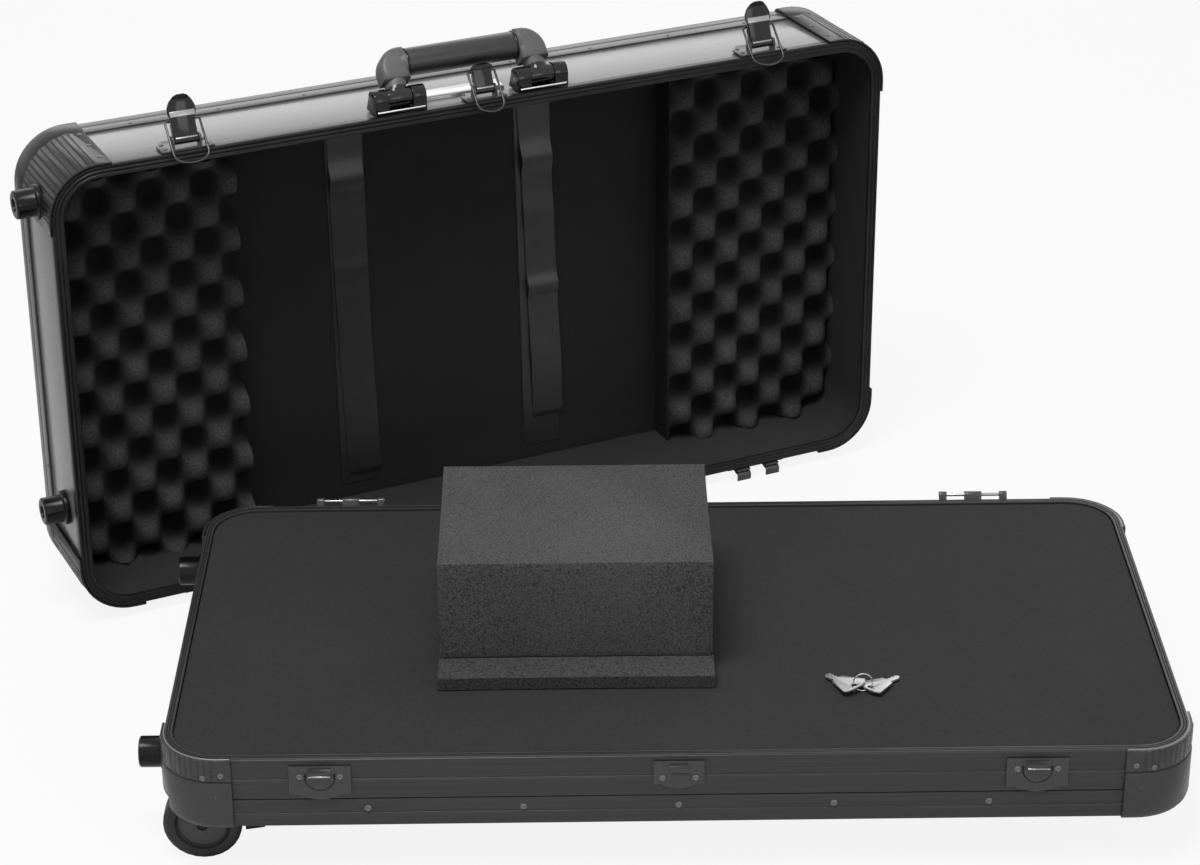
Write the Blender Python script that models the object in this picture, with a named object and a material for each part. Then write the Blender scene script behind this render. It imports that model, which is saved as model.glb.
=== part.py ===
"""A DJ controller trolley case, open: a shallow wheeled tray with a foam liner, and the deep lid unhooked and
stood behind it on its hinge side. A foam block, a foam slab and two keys lie on the tray.

Metres, +Z up. +X runs along the case to the pull-out handle, and the front with the catches faces -Y. The tray is
drawn about the centre of its liner's top face, and the lid in its own frame: X along it, Y from the rim inwards, Z
from the hinge wall up. At the end the whole group moves so that its origin is on the floor under its middle.
"""

import math

import bmesh
import bpy
from mathutils import Matrix, Vector

# Case
CASE_LENGTH = 0.800
CASE_DEPTH = 0.420
CORNER_RADIUS = 0.045
CORNER_STEPS = 6
GAP = 0.0003
CUT_OVERRUN = 0.004

# The middle of the whole group, from the centre of the liner's top face
GROUP_MIDDLE_X = -0.07802
GROUP_MIDDLE_Y = 0.199729

# Tray
TRAY_HEIGHT = 0.061
RIM_RISE = 0.001
RIM_HEIGHT = 0.036
RIM_WALL = 0.0018
RIM_LIP = 0.007
RIM_LIP_THICKNESS = 0.003
EDGE_LIP = 0.020
EDGE_WALL = 0.0018
FRAME_ROUND = 0.0012
GROOVE_DEPTH = 0.0006
GROOVE_WIDTH = 0.0016
BOTTOM_THICKNESS = 0.004
LINER_THICKNESS = 0.030

# Corner pieces
CAP_WALL = 0.0018
CAP_LEG = 0.011
CAP_ROUND = 0.008
CAP_STEPS = 12
CAP_RIB_DEPTH = 0.0008
CAP_BULGE = 0.0010
CAP_UPPER_HEIGHT = 0.019
CAP_LIP = 0.016

# Lid
LID_DEPTH = 0.107
LID_LIP = 0.0105
LID_LIP_THICKNESS = 0.0022
LID_RIM_FLANGE = 0.0075
LID_FRAME_WALL = 0.0012
LID_EDGE_FLANGE = 0.025
LID_EDGE_LIP = 0.020
WALL_THICKNESS = 0.005
PANEL_THICKNESS = 0.004
LID_LIFT = 0.0115
LID_TURN_DEG = 24.77
LID_X = -0.150
LID_Y = 0.351
CLOSED_GAP = 0.0006

# Wheels and the height of the floor
WHEEL_RADIUS = 0.031
WHEEL_WIDTH = 0.022
WHEEL_INSET = 0.022
WHEEL_OVERHANG = 0.003
WHEEL_BORE_RADIUS = 0.0045
WHEEL_HUB_RADIUS = 0.020
WHEEL_HUB_RECESS = 0.002
WHEEL_HUB_CAP_RADIUS = 0.009
WHEEL_CLEARANCE = 0.003
WHEEL_STEPS = 28
TYRE_ROUND = 0.003
AXLE_RADIUS = 0.004
FLOOR_CLEARANCE = 0.044
BRACKET_CHEEK = 0.010
BRACKET_FOOT = 0.019
BRACKET_DROP = 0.017

# Stub feet on the left end
STUB_LENGTH = 0.022
STUB_RADIUS = 0.0125
STUB_BASE = 0.004
STUB_BASE_RADIUS = 0.0155
STUB_BORE_RADIUS = 0.006
STUB_BORE_DEPTH = 0.008
STUB_STEPS = 20
TRAY_STUB_DROP = 0.029
TRAY_STUB_INSET = 0.062
LID_STUB_DEPTH = 0.040
LID_STUB_LOW = 0.090
LID_STUB_HIGH_INSET = 0.038

# Rest stand under the right end
STAND_INSET = 0.068
STAND_SPACING = 0.200
STAND_PLATE_WIDTH = 0.036
STAND_PLATE = 0.004
STAND_FOOT_RADIUS = 0.015
STAND_TIP_RADIUS = 0.012

# Lift-off hinges
HINGE_INSET = 0.124
HINGE_LENGTH = 0.060
PIN_RADIUS = 0.0015
PIN_OFFSET = 0.007
PIN_RISE = 0.002
KNUCKLE_RADIUS = 0.0030
KNUCKLE_END = 0.0065
KNUCKLE_MIDDLE = 0.015
LEAF_THICKNESS = 0.002
LEAF_HEIGHT = 0.024
HOOK_WALL = 0.0018
HOOK_SIDE_GAP = 0.001
HOOK_STEPS = 10

# Latches and catches
LATCH_INSET = 0.124
LATCH_SMALL_SHARE = 0.82
LATCH_PLATE_WIDTH = 0.047
LATCH_PLATE_DEPTH = 0.026
LATCH_PLATE = 0.0015
LATCH_EDGE = 0.0020
LATCH_PIVOT_DEPTH = 0.009
LATCH_PIVOT_RISE = 0.0075
LATCH_PIN_RADIUS = 0.0015
LATCH_EAR_THICKNESS = 0.0018
LATCH_EAR_RADIUS = 0.0045
LEVER_WIDTH = 0.021
LEVER_LENGTH = 0.038
LEVER_BODY = 0.017
LEVER_RISE = 0.0063
LEVER_SMALL_LENGTH = 0.0230
LEVER_SMALL_RISE = 0.0032
LEVER_THICKNESS = 0.0072
LEVER_SPOON_WIDTH = 0.025
LEVER_SPOON_THICKNESS = 0.0022
LEVER_UP_DEG = 66.0
BAIL_SEAT = 0.0165
BAIL_WIRE = 0.0012
BAIL_LENGTH = 0.0397
BAIL_HALF_WIDTH = 0.0155
BAIL_END_RADIUS = 0.0090
BAIL_HANG_DEG = 161.0
CATCH_WIDTH = 0.048
CATCH_HEIGHT = 0.030
CATCH_TOP = 0.006
CATCH_PLATE = 0.0014
CATCH_LIP_WIDTH = 0.018
CATCH_LIP_REACH = 0.0071
CATCH_LIP_DROP = 0.0028
CATCH_LIP_THICKNESS = 0.0014
CATCH_BELLY = 0.005
CATCH_BOSS_RADIUS = 0.011
CATCH_BOSS = 0.0008

# Carrying handle
HANDLE_X = -0.012
HANDLE_SPREAD = 0.068
HANDLE_PIVOT_DEPTH = 0.014
HANDLE_PIVOT_RISE = 0.0115
HANDLE_BRACKET_LENGTH = 0.048
HANDLE_BRACKET_DEPTH = 0.022
HANDLE_BRACKET_BASE = 0.0025
HANDLE_BARREL_RADIUS = 0.0090
HANDLE_KNUCKLE_LENGTH = 0.022
HANDLE_KNUCKLE_RADIUS = 0.0082
HANDLE_PIN_RADIUS = 0.0022
HANDLE_REACH = 0.031
HANDLE_GRIP_RADIUS = 0.0125
HANDLE_GRIP_HALF = 0.052
HANDLE_ARM_HALF = 0.0092
HANDLE_UP_DEG = 47.0
HANDLE_STEPS = 14
PLATE_LENGTH = 0.078
PLATE_DEPTH = 0.020
PLATE_THICKNESS = 0.0016
PLATE_SETBACK = 0.046

# Inside the lid
PAD_LENGTH = 0.178
PAD_HEIGHT = 0.376
PAD_BASE = 0.016
PAD_CREST = 0.024
PAD_PITCH_X = 0.0385
PAD_PITCH_Z = 0.050
PAD_COLUMNS = 20
PAD_ROWS = 34
STRAP_WIDTH = 0.037
STRAP_THICKNESS = 0.0018
STRAP_LENGTH = 0.352
STRAP_LOW = 0.020
STRAP_LEFT_X = -0.097
STRAP_RIGHT_X = 0.092
STRAP_SAG = 0.0008
STRAP_ROWS = 12

# Pull-out handle
CHANNEL_SPREAD = 0.085
CHANNEL_WIDTH = 0.026
CHANNEL_HEIGHT = 0.020
CHANNEL_LENGTH = 0.560
CHANNEL_WALL = 0.0016
TUBE_CLEARANCE = 0.0004
TUBE_WALL = 0.0016
PULL_TRAVEL = 0.420
PULL_GRIP_LENGTH = 0.206
PULL_GRIP_HEIGHT = 0.019
PULL_GRIP_DEPTH = 0.017
PULL_WINDOW_GAP = 0.0015
BUTTON_LENGTH = 0.030
BUTTON_HEIGHT = 0.010
BUTTON_DEPTH = 0.006
BUTTON_TRAVEL = 0.002

# Loose things on the tray
BLOCK_LENGTH = 0.219
BLOCK_DEPTH = 0.172
BLOCK_TOP = 0.098
BLOCK_SETBACK = 0.131
SLAB_LENGTH = 0.221
SLAB_DEPTH = 0.205
SLAB_THICKNESS = 0.012
SLAB_SETBACK = 0.100
BLOCK_X = -0.078
FOAM_BOW = 0.0015
KEY_THICKNESS = 0.0018
KEY_BOW_LENGTH = 0.0190
KEY_BOW_HALF_WIDTH = 0.0122
KEY_BOW_BULGE = 0.0045
KEY_NECK_HALF_WIDTH = 0.0056
KEY_BLADE_LENGTH = 0.0130
KEY_BLADE_HALF_WIDTH = 0.0031
KEY_HOLE_RADIUS = 0.0024
KEY_TOOTH = 0.0015
RING_RADIUS = 0.0077
RING_WIRE = 0.0006
RING_STEPS = 24
KEYS_X = 0.1490
KEYS_SETBACK = 0.0925
KEY_LIFT_LEFT = 0.0055
KEY_LIFT_RIGHT = 0.0037
KEY_ROLL_DEG = -4.0
KEY_TURN_LEFT_DEG = 131.0
KEY_TURN_RIGHT_DEG = 38.5

HALF = CASE_LENGTH / 2
FRONT = -CASE_DEPTH / 2
REAR = CASE_DEPTH / 2
TRAY_BOTTOM = RIM_RISE - TRAY_HEIGHT
SEAM = RIM_RISE - RIM_HEIGHT
FLOOR = TRAY_BOTTOM - FLOOR_CLEARANCE
LINER_BOTTOM = -LINER_THICKNESS
PANEL_TOP = TRAY_BOTTOM + EDGE_WALL + GAP + BOTTOM_THICKNESS
LID_BACK_INSIDE = LID_DEPTH - LID_FRAME_WALL - GAP - PANEL_THICKNESS
BOARD_INSET = LID_FRAME_WALL + GAP
HINGE_X = HALF - HINGE_INSET
LATCH_X = HALF - LATCH_INSET
LID_STUB_HIGH = CASE_DEPTH - LID_STUB_HIGH_INSET


for old in list(bpy.data.objects):
    bpy.data.objects.remove(old, do_unlink=True)


def material(name, colour, roughness, metallic=0.0):
    made = bpy.data.materials.new(name)
    made.use_nodes = True
    shader = made.node_tree.nodes["Principled BSDF"]
    shader.inputs["Base Color"].default_value = (*colour, 1.0)
    shader.inputs["Roughness"].default_value = roughness
    shader.inputs["Metallic"].default_value = metallic
    return made


LOOKS = {
    "anodised": ((0.035, 0.035, 0.037), 0.38, 0.8),
    "laminate": ((0.020, 0.020, 0.022), 0.18, 0.0),
    "cap": ((0.030, 0.030, 0.032), 0.42, 0.6),
    "foam": ((0.040, 0.040, 0.042), 0.95, 0.0),
    "grey foam": ((0.085, 0.085, 0.088), 0.95, 0.0),
    "plastic": ((0.015, 0.015, 0.016), 0.45, 0.0),
    "rubber": ((0.018, 0.018, 0.018), 0.70, 0.0),
    "black steel": ((0.028, 0.028, 0.030), 0.35, 0.9),
    "steel": ((0.55, 0.55, 0.56), 0.28, 1.0),
    "webbing": ((0.016, 0.016, 0.017), 0.80, 0.0),
    "board": ((0.050, 0.040, 0.030), 0.80, 0.0),
    "brushed": ((0.42, 0.42, 0.43), 0.40, 0.9),
}


def empty(name, parent=None, place=(0, 0, 0), turn=(0, 0, 0)):
    made = bpy.data.objects.new(name, None)
    bpy.context.collection.objects.link(made)
    made.parent = parent
    made.location = place
    made.rotation_euler = turn
    return made


def finish(mesh, name, look, parent=None, place=(0, 0, 0), turn=(0, 0, 0), smooth=35):
    """A named object from a bmesh, with its own material, outward faces and smooth round parts."""
    bmesh.ops.recalc_face_normals(mesh, faces=mesh.faces[:])
    data = bpy.data.meshes.new(name)
    mesh.to_mesh(data)
    mesh.free()
    made = bpy.data.objects.new(name, data)
    bpy.context.collection.objects.link(made)
    data.materials.append(material(name, *LOOKS[look]))
    data.shade_smooth()
    data.set_sharp_from_angle(angle=math.radians(smooth))
    made.parent = parent
    made.location = place
    made.rotation_euler = turn
    return made


def join_or_cut(target, other, operation):
    change = target.modifiers.new(f"{operation.lower()} {other.name}", "BOOLEAN")
    change.operation = operation
    change.solver = "EXACT"
    change.object = other
    other.hide_render = True
    other.display_type = "WIRE"


def cut(target, other):
    join_or_cut(target, other, "DIFFERENCE")


def join(target, other):
    join_or_cut(target, other, "UNION")


def keep_inside(target, other):
    join_or_cut(target, other, "INTERSECT")


def loft(rings, closed=False):
    """A bmesh skin over rings of equal count: capped at its ends, or closed into a loop."""
    mesh = bmesh.new()
    rows = [[mesh.verts.new(point) for point in ring] for ring in rings]
    pairs = list(zip(rows, rows[1:]))
    if closed:
        pairs.append((rows[-1], rows[0]))
    else:
        mesh.faces.new(rows[0])
        mesh.faces.new(rows[-1])
    for here, there in pairs:
        for i in range(len(here)):
            j = (i + 1) % len(here)
            mesh.faces.new((here[i], here[j], there[j], there[i]))
    return mesh


def prism(outline, axis, low, high):
    """An outline in the plane across an axis, raised from low to high along it."""
    order = {"x": lambda u, v, w: (w, u, v), "y": lambda u, v, w: (u, w, v), "z": lambda u, v, w: (u, v, w)}[axis]
    return loft([[order(u, v, w) for u, v in outline] for w in (low, high)])


def block(x0, x1, y0, y1, z0, z1):
    return prism([(x0, y0), (x1, y0), (x1, y1), (x0, y1)], "z", z0, z1)


def circle(radius, steps, u=0.0, v=0.0, start=0.0):
    return [
        (u + radius * math.cos(start + 2 * math.pi * i / steps), v + radius * math.sin(start + 2 * math.pi * i / steps))
        for i in range(steps)
    ]


def turned(profile, axis, steps, u=0.0, v=0.0):
    """A solid of discs: (radius, place along the axis) pairs, capped at both ends."""
    order = {"x": lambda a, b, w: (w, a, b), "y": lambda a, b, w: (a, w, b), "z": lambda a, b, w: (a, b, w)}[axis]
    return loft([[order(a, b, w) for a, b in circle(radius, steps, u, v)] for radius, w in profile])


def corner_path(corner, steps=CORNER_STEPS, rib=0.0):
    """Stops (x, v, outward x, outward v, rise) round a corner of the plan, 0 to 3, counted from the front right.

    Every other stop of a ribbed corner rises by rib.
    """
    centre_x = (HALF - CORNER_RADIUS) * (1, 1, -1, -1)[corner]
    centre_v = CASE_DEPTH / 2 + (CASE_DEPTH / 2 - CORNER_RADIUS) * (-1, 1, 1, -1)[corner]
    first = math.radians((-90, 0, 90, 180)[corner])
    path = []
    for i in range(steps + 1):
        angle = first + math.radians(90) * i / steps
        path.append((centre_x, centre_v, math.cos(angle), math.sin(angle), rib * (i % 2)))
    return path


def tray_ring(path, section, upright=False):
    """Section points (inset from the outer face, height) at each stop of a plan path.

    A third entry marks a point that follows the ribs.
    """
    rings = []
    for x, v, dx, dv, rise in path:
        ring = []
        for inset, height, *ribbed in section:
            reach = CORNER_RADIUS - inset + (rise if ribbed else 0)
            px, pv = x + dx * reach, v + dv * reach
            ring.append((px, height, pv) if upright else (px, pv + FRONT, height))
        rings.append(ring)
    return rings


def frame_ring(section, upright=False):
    return loft(tray_ring([p for c in range(4) for p in corner_path(c)], section, upright), closed=True)


def slab(inset, low, high, upright=False):
    """A flat sheet of the plan's shape, drawn in by an inset."""
    outline = tray_ring([p for c in range(4) for p in corner_path(c)], [(inset, low), (inset, high)], upright)
    return loft([[ring[0] for ring in outline], [ring[1] for ring in outline]])


def corner_piece(corner, section, upright=False):
    """A corner piece: straight legs of CAP_LEG on both sides of the rounded corner."""
    path = corner_path(corner, CAP_STEPS, CAP_RIB_DEPTH)
    legs = []
    for (x, v, dx, dv, rise), side in ((path[0], -1), (path[-1], 1)):
        legs.append((x - side * dv * CAP_LEG, v + side * dx * CAP_LEG, dx, dv, rise))
    return loft(tray_ring([legs[0], *path, legs[1]], section, upright))


def grooved(inset, start, end, *centres):
    """A wall line from start to end with a shallow groove at each centre."""
    half = (GROOVE_WIDTH if end > start else -GROOVE_WIDTH) / 2
    deep = inset + GROOVE_DEPTH
    line = [(inset, start)]
    for centre in centres:
        line += [(inset, centre - half), (deep, centre - half / 2), (deep, centre + half / 2), (inset, centre + half)]
    return [*line, (inset, end)]


# Tray: frames, bottom, liner and corners

rim_groove = (RIM_RISE + SEAM) / 2
rim_section = [
    *grooved(0, SEAM, RIM_RISE - FRAME_ROUND, rim_groove),
    (FRAME_ROUND, RIM_RISE),
    (RIM_LIP, RIM_RISE),
    (RIM_LIP, RIM_RISE - RIM_LIP_THICKNESS),
    (RIM_WALL, RIM_RISE - RIM_LIP_THICKNESS),
    (RIM_WALL, SEAM),
]
tray_rim = finish(frame_ring(rim_section), "tray_rim_frame", "anodised")

edge_top = SEAM - GAP
edge_groove = (edge_top + TRAY_BOTTOM) / 2
edge_section = [
    (FRAME_ROUND, TRAY_BOTTOM),
    *grooved(0, TRAY_BOTTOM + FRAME_ROUND, edge_top, edge_groove),
    (EDGE_WALL, edge_top),
    (EDGE_WALL, TRAY_BOTTOM + EDGE_WALL),
    (EDGE_LIP, TRAY_BOTTOM + EDGE_WALL),
    (EDGE_LIP, TRAY_BOTTOM),
]
tray_edge = finish(frame_ring(edge_section), "tray_edge_frame", "anodised")

tray_bottom = finish(slab(EDGE_WALL + GAP, TRAY_BOTTOM + EDGE_WALL + GAP, PANEL_TOP), "tray_bottom_panel", "board")
liner = finish(slab(RIM_LIP + GAP, LINER_BOTTOM, 0), "tray_foam_liner", "foam")


cap_outer = -GAP - CAP_WALL
cap_floor = TRAY_BOTTOM - GAP - CAP_WALL
cap_split = RIM_RISE - CAP_UPPER_HEIGHT
tray_cap_section = [
    (-GAP, RIM_RISE),
    (cap_outer, RIM_RISE),
    (cap_outer, RIM_RISE - CAP_RIB_DEPTH * 2, "rib"),
    (cap_outer, cap_split + CAP_RIB_DEPTH * 2, "rib"),
    (cap_outer, cap_split),
    (cap_outer - CAP_BULGE, cap_split - CAP_ROUND / 4),
    (cap_outer - CAP_BULGE, cap_floor + CAP_ROUND),
    (cap_outer, cap_floor + CAP_ROUND / 2),
    (cap_outer + CAP_WALL, cap_floor + CAP_ROUND / 5),
    (cap_outer + CAP_ROUND / 2, cap_floor),
    (CAP_LIP, cap_floor),
    (CAP_LIP, TRAY_BOTTOM - GAP),
    (-GAP + CAP_WALL, TRAY_BOTTOM - GAP),
    (-GAP, TRAY_BOTTOM + FRAME_ROUND),
]
corner_names = ("front_right", "rear_right", "rear_left", "front_left")
tray_caps = [
    finish(corner_piece(i, tray_cap_section), f"tray_corner_{corner_names[i]}", "cap") for i in range(4)
]

# Tray: wheels at the left end, set in from the front and the rear

wheel_x = -HALF - WHEEL_OVERHANG + WHEEL_RADIUS
wheel_z = FLOOR + WHEEL_RADIUS
cheek_gap = 2 * GAP


def wheel_set(name, side, cap):
    """side is -1 for the front wheel and 1 for the rear one, whose outer faces look that way."""
    outer = side * (CASE_DEPTH / 2 - WHEEL_INSET)
    inner = outer - side * WHEEL_WIDTH
    half = WHEEL_WIDTH / 2
    profile = [
        (WHEEL_HUB_CAP_RADIUS, -half),
        (WHEEL_HUB_RADIUS, -half + WHEEL_HUB_RECESS),
        (WHEEL_HUB_RADIUS + WHEEL_HUB_RECESS, -half),
        (WHEEL_RADIUS - TYRE_ROUND, -half),
        (WHEEL_RADIUS, -half + TYRE_ROUND),
        (WHEEL_RADIUS, half - TYRE_ROUND),
        (WHEEL_RADIUS - TYRE_ROUND, half),
        (WHEEL_HUB_RADIUS, half),
    ]
    if side > 0:
        profile = [(radius, -w) for radius, w in reversed(profile)]
    hub = empty(f"{name}_axis", place=(wheel_x, (outer + inner) / 2, wheel_z))
    wheel = finish(turned(profile, "y", WHEEL_STEPS), f"{name}_wheel", "rubber", parent=hub)
    bore = turned([(WHEEL_BORE_RADIUS, -WHEEL_WIDTH), (WHEEL_BORE_RADIUS, WHEEL_WIDTH)], "y", WHEEL_STEPS // 2)
    cut(wheel, finish(bore, f"cut_{name}_bore", "rubber", parent=hub))

    # The bracket: cheek behind the wheel, a roof over it, a foot beside it, and the axle
    cheek_out = inner - side * cheek_gap
    cheek_in = cheek_out - side * BRACKET_CHEEK
    roof_under = wheel_z + WHEEL_RADIUS + WHEEL_CLEARANCE / 2
    low, high = sorted((cheek_in, cheek_out))
    roof_low, roof_high = sorted((cheek_in, outer))
    left = wheel_x - AXLE_RADIUS - BRACKET_CHEEK
    right = wheel_x + WHEEL_RADIUS + WHEEL_CLEARANCE
    far = right + BRACKET_FOOT
    side_line = [
        (left, wheel_z - AXLE_RADIUS),
        (wheel_x - AXLE_RADIUS, wheel_z - AXLE_RADIUS - BRACKET_CHEEK / 2),
        (right, TRAY_BOTTOM - BRACKET_DROP),
        (far, TRAY_BOTTOM - BRACKET_DROP / 2),
        (far, LINER_BOTTOM - GAP),
        (left, LINER_BOTTOM - GAP),
    ]
    bracket = finish(prism(side_line, "y", low, high), f"{name}_wheel_bracket", "plastic")
    roof = block(left, far, roof_low, roof_high, roof_under, LINER_BOTTOM - GAP)
    join(bracket, finish(roof, f"add_{name}_roof", "plastic"))
    foot_line = [
        (right, TRAY_BOTTOM - BRACKET_DROP),
        (far - BRACKET_DROP / 4, TRAY_BOTTOM - BRACKET_DROP * 7 / 8),
        (far, TRAY_BOTTOM - BRACKET_DROP / 2),
        (far, (roof_under + LINER_BOTTOM) / 2),
        (right, (roof_under + LINER_BOTTOM) / 2),
    ]
    join(bracket, finish(prism(foot_line, "y", roof_low, roof_high), f"add_{name}_foot", "plastic"))
    axle_end = outer - side * WHEEL_HUB_RECESS / 4
    axle = turned([(AXLE_RADIUS, (low + high) / 2), (AXLE_RADIUS, axle_end)], "y", WHEEL_STEPS // 2, wheel_x, wheel_z)
    join(bracket, finish(axle, f"add_{name}_axle", "plastic"))

    # The opening for wheel and bracket through the bottom and the left end
    well_out = outer + side * WHEEL_CLEARANCE / 2
    well_low, well_high = sorted((cheek_in - side * GAP, well_out))
    well_right = far + GAP
    well = block(-HALF - CUT_OVERRUN, well_right, well_low, well_high, TRAY_BOTTOM - CUT_OVERRUN,
                 TRAY_BOTTOM + WHEEL_CLEARANCE * 5)
    cutter = finish(well, f"cut_{name}_well", "plastic")
    for target in (tray_bottom, tray_edge, cap):
        cut(target, cutter)


wheel_set("front", -1, tray_caps[3])
wheel_set("rear", 1, tray_caps[2])


def stub_foot(name, cap, parent, place):
    """A round foot whose axis points along -X from its place on the left end, through a notch in a cap."""
    look = "plastic"
    profile = [
        (STUB_BASE_RADIUS, 0),
        (STUB_BASE_RADIUS, -STUB_BASE),
        (STUB_RADIUS, -STUB_BASE - FRAME_ROUND),
        (STUB_RADIUS, -STUB_LENGTH + FRAME_ROUND),
        (STUB_RADIUS - FRAME_ROUND, -STUB_LENGTH),
    ]
    foot = finish(turned(profile, "x", STUB_STEPS), name, look, parent=parent, place=place)
    bore = turned([(STUB_BORE_RADIUS, -STUB_LENGTH + STUB_BORE_DEPTH), (STUB_BORE_RADIUS, -STUB_LENGTH - CUT_OVERRUN)],
                  "x", STUB_STEPS // 2)
    cut(foot, finish(bore, f"cut_{name}", look, parent=parent, place=place))
    notch = turned([(STUB_BASE_RADIUS + GAP, CUT_OVERRUN / 4), (STUB_BASE_RADIUS + GAP, -STUB_LENGTH)], "x", STUB_STEPS)
    cut(cap, finish(notch, f"cut_{name}_notch", look, parent=parent, place=place))


for name, cap, v in (("front", tray_caps[3], TRAY_STUB_INSET), ("rear", tray_caps[2], CASE_DEPTH - TRAY_STUB_INSET)):
    stub_foot(f"tray_stub_foot_{name}", cap, None, (-HALF - GAP, FRONT + v, -TRAY_STUB_DROP))

# Tray: the rest stand, one moulding with two feet

stand_x = HALF - STAND_INSET
stand_top = TRAY_BOTTOM + EDGE_WALL
plate_low = stand_top - STAND_PLATE
half_plate = STAND_PLATE_WIDTH / 2
stand_reach = STAND_SPACING / 2 + half_plate
stand = finish(block(stand_x - half_plate, stand_x + half_plate, -stand_reach, stand_reach, plate_low, stand_top),
               "rest_stand", "rubber")
for i, v in enumerate((-STAND_SPACING / 2, STAND_SPACING / 2)):
    foot = turned([(STAND_FOOT_RADIUS, (plate_low + stand_top) / 2), (STAND_FOOT_RADIUS, plate_low - STAND_PLATE),
                   (STAND_TIP_RADIUS, FLOOR)], "z", STUB_STEPS, stand_x, v)
    join(stand, finish(foot, f"add_stand_foot_{i}", "rubber"))

# Tray: hinge leaves with three knuckles, and the pins

pin_y = REAR + PIN_OFFSET
bore_radius = PIN_RADIUS + GAP
leaf_in = REAR + GAP
leaf_out = leaf_in + LEAF_THICKNESS
leaf_top = RIM_RISE - FRAME_ROUND - GAP


def knuckle_spans(centre):
    half = HINGE_LENGTH / 2
    return (
        (centre - half, centre - half + KNUCKLE_END),
        (centre - KNUCKLE_MIDDLE / 2, centre + KNUCKLE_MIDDLE / 2),
        (centre + half - KNUCKLE_END, centre + half),
    )


def knuckle_outline():
    """Side view (y, z) of a knuckle on its arm, which rises from the leaf to the pin."""
    arc = []
    for i in range(HOOK_STEPS + 1):
        angle = math.radians(-60 + 240 * i / HOOK_STEPS)
        arc.append((pin_y + KNUCKLE_RADIUS * math.cos(angle), PIN_RISE + KNUCKLE_RADIUS * math.sin(angle)))
    arm_foot = leaf_top - PIN_OFFSET
    return [*arc, (leaf_out, leaf_top - KNUCKLE_RADIUS / 2), (leaf_in + LEAF_THICKNESS / 2, leaf_top - KNUCKLE_RADIUS),
            (leaf_in + LEAF_THICKNESS / 2, arm_foot), (leaf_out, arm_foot)]


pin_half = HINGE_LENGTH / 2 - GAP
for name, centre in (("left", -HINGE_X), ("right", HINGE_X)):
    half = HINGE_LENGTH / 2
    leaf = finish(block(centre - half, centre + half, leaf_in, leaf_out, leaf_top - LEAF_HEIGHT, leaf_top),
                  f"tray_hinge_{name}", "black steel")
    for i, (x0, x1) in enumerate(knuckle_spans(centre)):
        join(leaf, finish(prism(knuckle_outline(), "x", x0, x1), f"add_knuckle_{name}_{i}", "black steel"))
    bore = turned([(bore_radius, centre - half - CUT_OVERRUN), (bore_radius, centre + half + CUT_OVERRUN)], "x",
                  HOOK_STEPS, pin_y, PIN_RISE)
    cut(leaf, finish(bore, f"cut_knuckle_{name}", "black steel"))
    pin = finish(turned([(PIN_RADIUS, -pin_half), (PIN_RADIUS, pin_half)], "x", HOOK_STEPS), f"hinge_pin_{name}",
                 "black steel", place=(centre, pin_y, PIN_RISE))

# Tray: catch plates


def catch(name, centre, share):
    """A plate on the front wall with a belly below and a keeper lip that the wire bail hooks under."""
    half = CATCH_WIDTH * share / 2
    top = RIM_RISE - CATCH_TOP * share
    foot = top - (CATCH_HEIGHT - CATCH_BELLY) * share
    outline = [(-half, top), (-half, foot)]
    for i in range(7):
        t = i / 6
        outline.append((half * (2 * t - 1) * 3 / 4, foot - CATCH_BELLY * share * math.sin(math.pi * t)))
    outline += [(half, foot), (half, top)]
    front = FRONT - GAP
    plate = finish(prism([(centre + u, z) for u, z in outline], "y", front - CATCH_PLATE, front), name, "black steel")
    half_lip = CATCH_LIP_WIDTH * share / 2
    lip_z = RIM_RISE - CATCH_TOP - CATCH_LIP_DROP
    lip_under = lip_z - CATCH_LIP_THICKNESS
    reach = front - CATCH_LIP_REACH
    back = front - CATCH_PLATE / 2
    turn_down = lip_under - CATCH_LIP_THICKNESS * 3 / 2
    lip = [(back, lip_z), (reach, lip_z), (reach, turn_down), (reach + CATCH_LIP_THICKNESS, turn_down),
           (reach + CATCH_LIP_THICKNESS, lip_under), (back, lip_under)]
    join(plate, finish(prism(lip, "x", centre - half_lip, centre + half_lip), f"add_{name}_lip", "black steel"))
    boss_top = lip_under - CATCH_LIP_DROP * 2
    boss = [(centre + CATCH_BOSS_RADIUS * share * math.cos(a), boss_top - CATCH_BOSS_RADIUS * share * math.sin(a))
            for a in [math.pi * i / 8 for i in range(9)]]
    join(plate, finish(prism(boss, "y", front - CATCH_PLATE - CATCH_BOSS, front - CATCH_PLATE / 2), f"add_{name}_boss",
                       "black steel"))


catch("catch_left", -LATCH_X, 1)
catch("catch_middle", 0, LATCH_SMALL_SHARE)
catch("catch_right", LATCH_X, 1)

# Tray: the pull-out handle, in the right end below the liner

channel_top = LINER_BOTTOM - GAP
channel_low = channel_top - CHANNEL_HEIGHT
channel_z = (channel_top + channel_low) / 2
channel_end = HALF - EDGE_WALL - GAP - PULL_GRIP_DEPTH - PULL_WINDOW_GAP
channel_start = channel_end - CHANNEL_LENGTH
half_wide = CHANNEL_WIDTH / 2
channels = finish(block(channel_start, channel_start + CHANNEL_WIDTH, -CHANNEL_SPREAD, CHANNEL_SPREAD,
                        channel_z - CHANNEL_WALL, channel_z + CHANNEL_WALL), "pull_handle_channels", "black steel")
bore_half = half_wide - CHANNEL_WALL
bore_rise = CHANNEL_HEIGHT / 2 - CHANNEL_WALL
for name, v in (("front", -CHANNEL_SPREAD), ("rear", CHANNEL_SPREAD)):
    outer = block(channel_start, channel_end, v - half_wide, v + half_wide, channel_low, channel_top)
    join(channels, finish(outer, f"add_channel_{name}", "black steel"))
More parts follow.
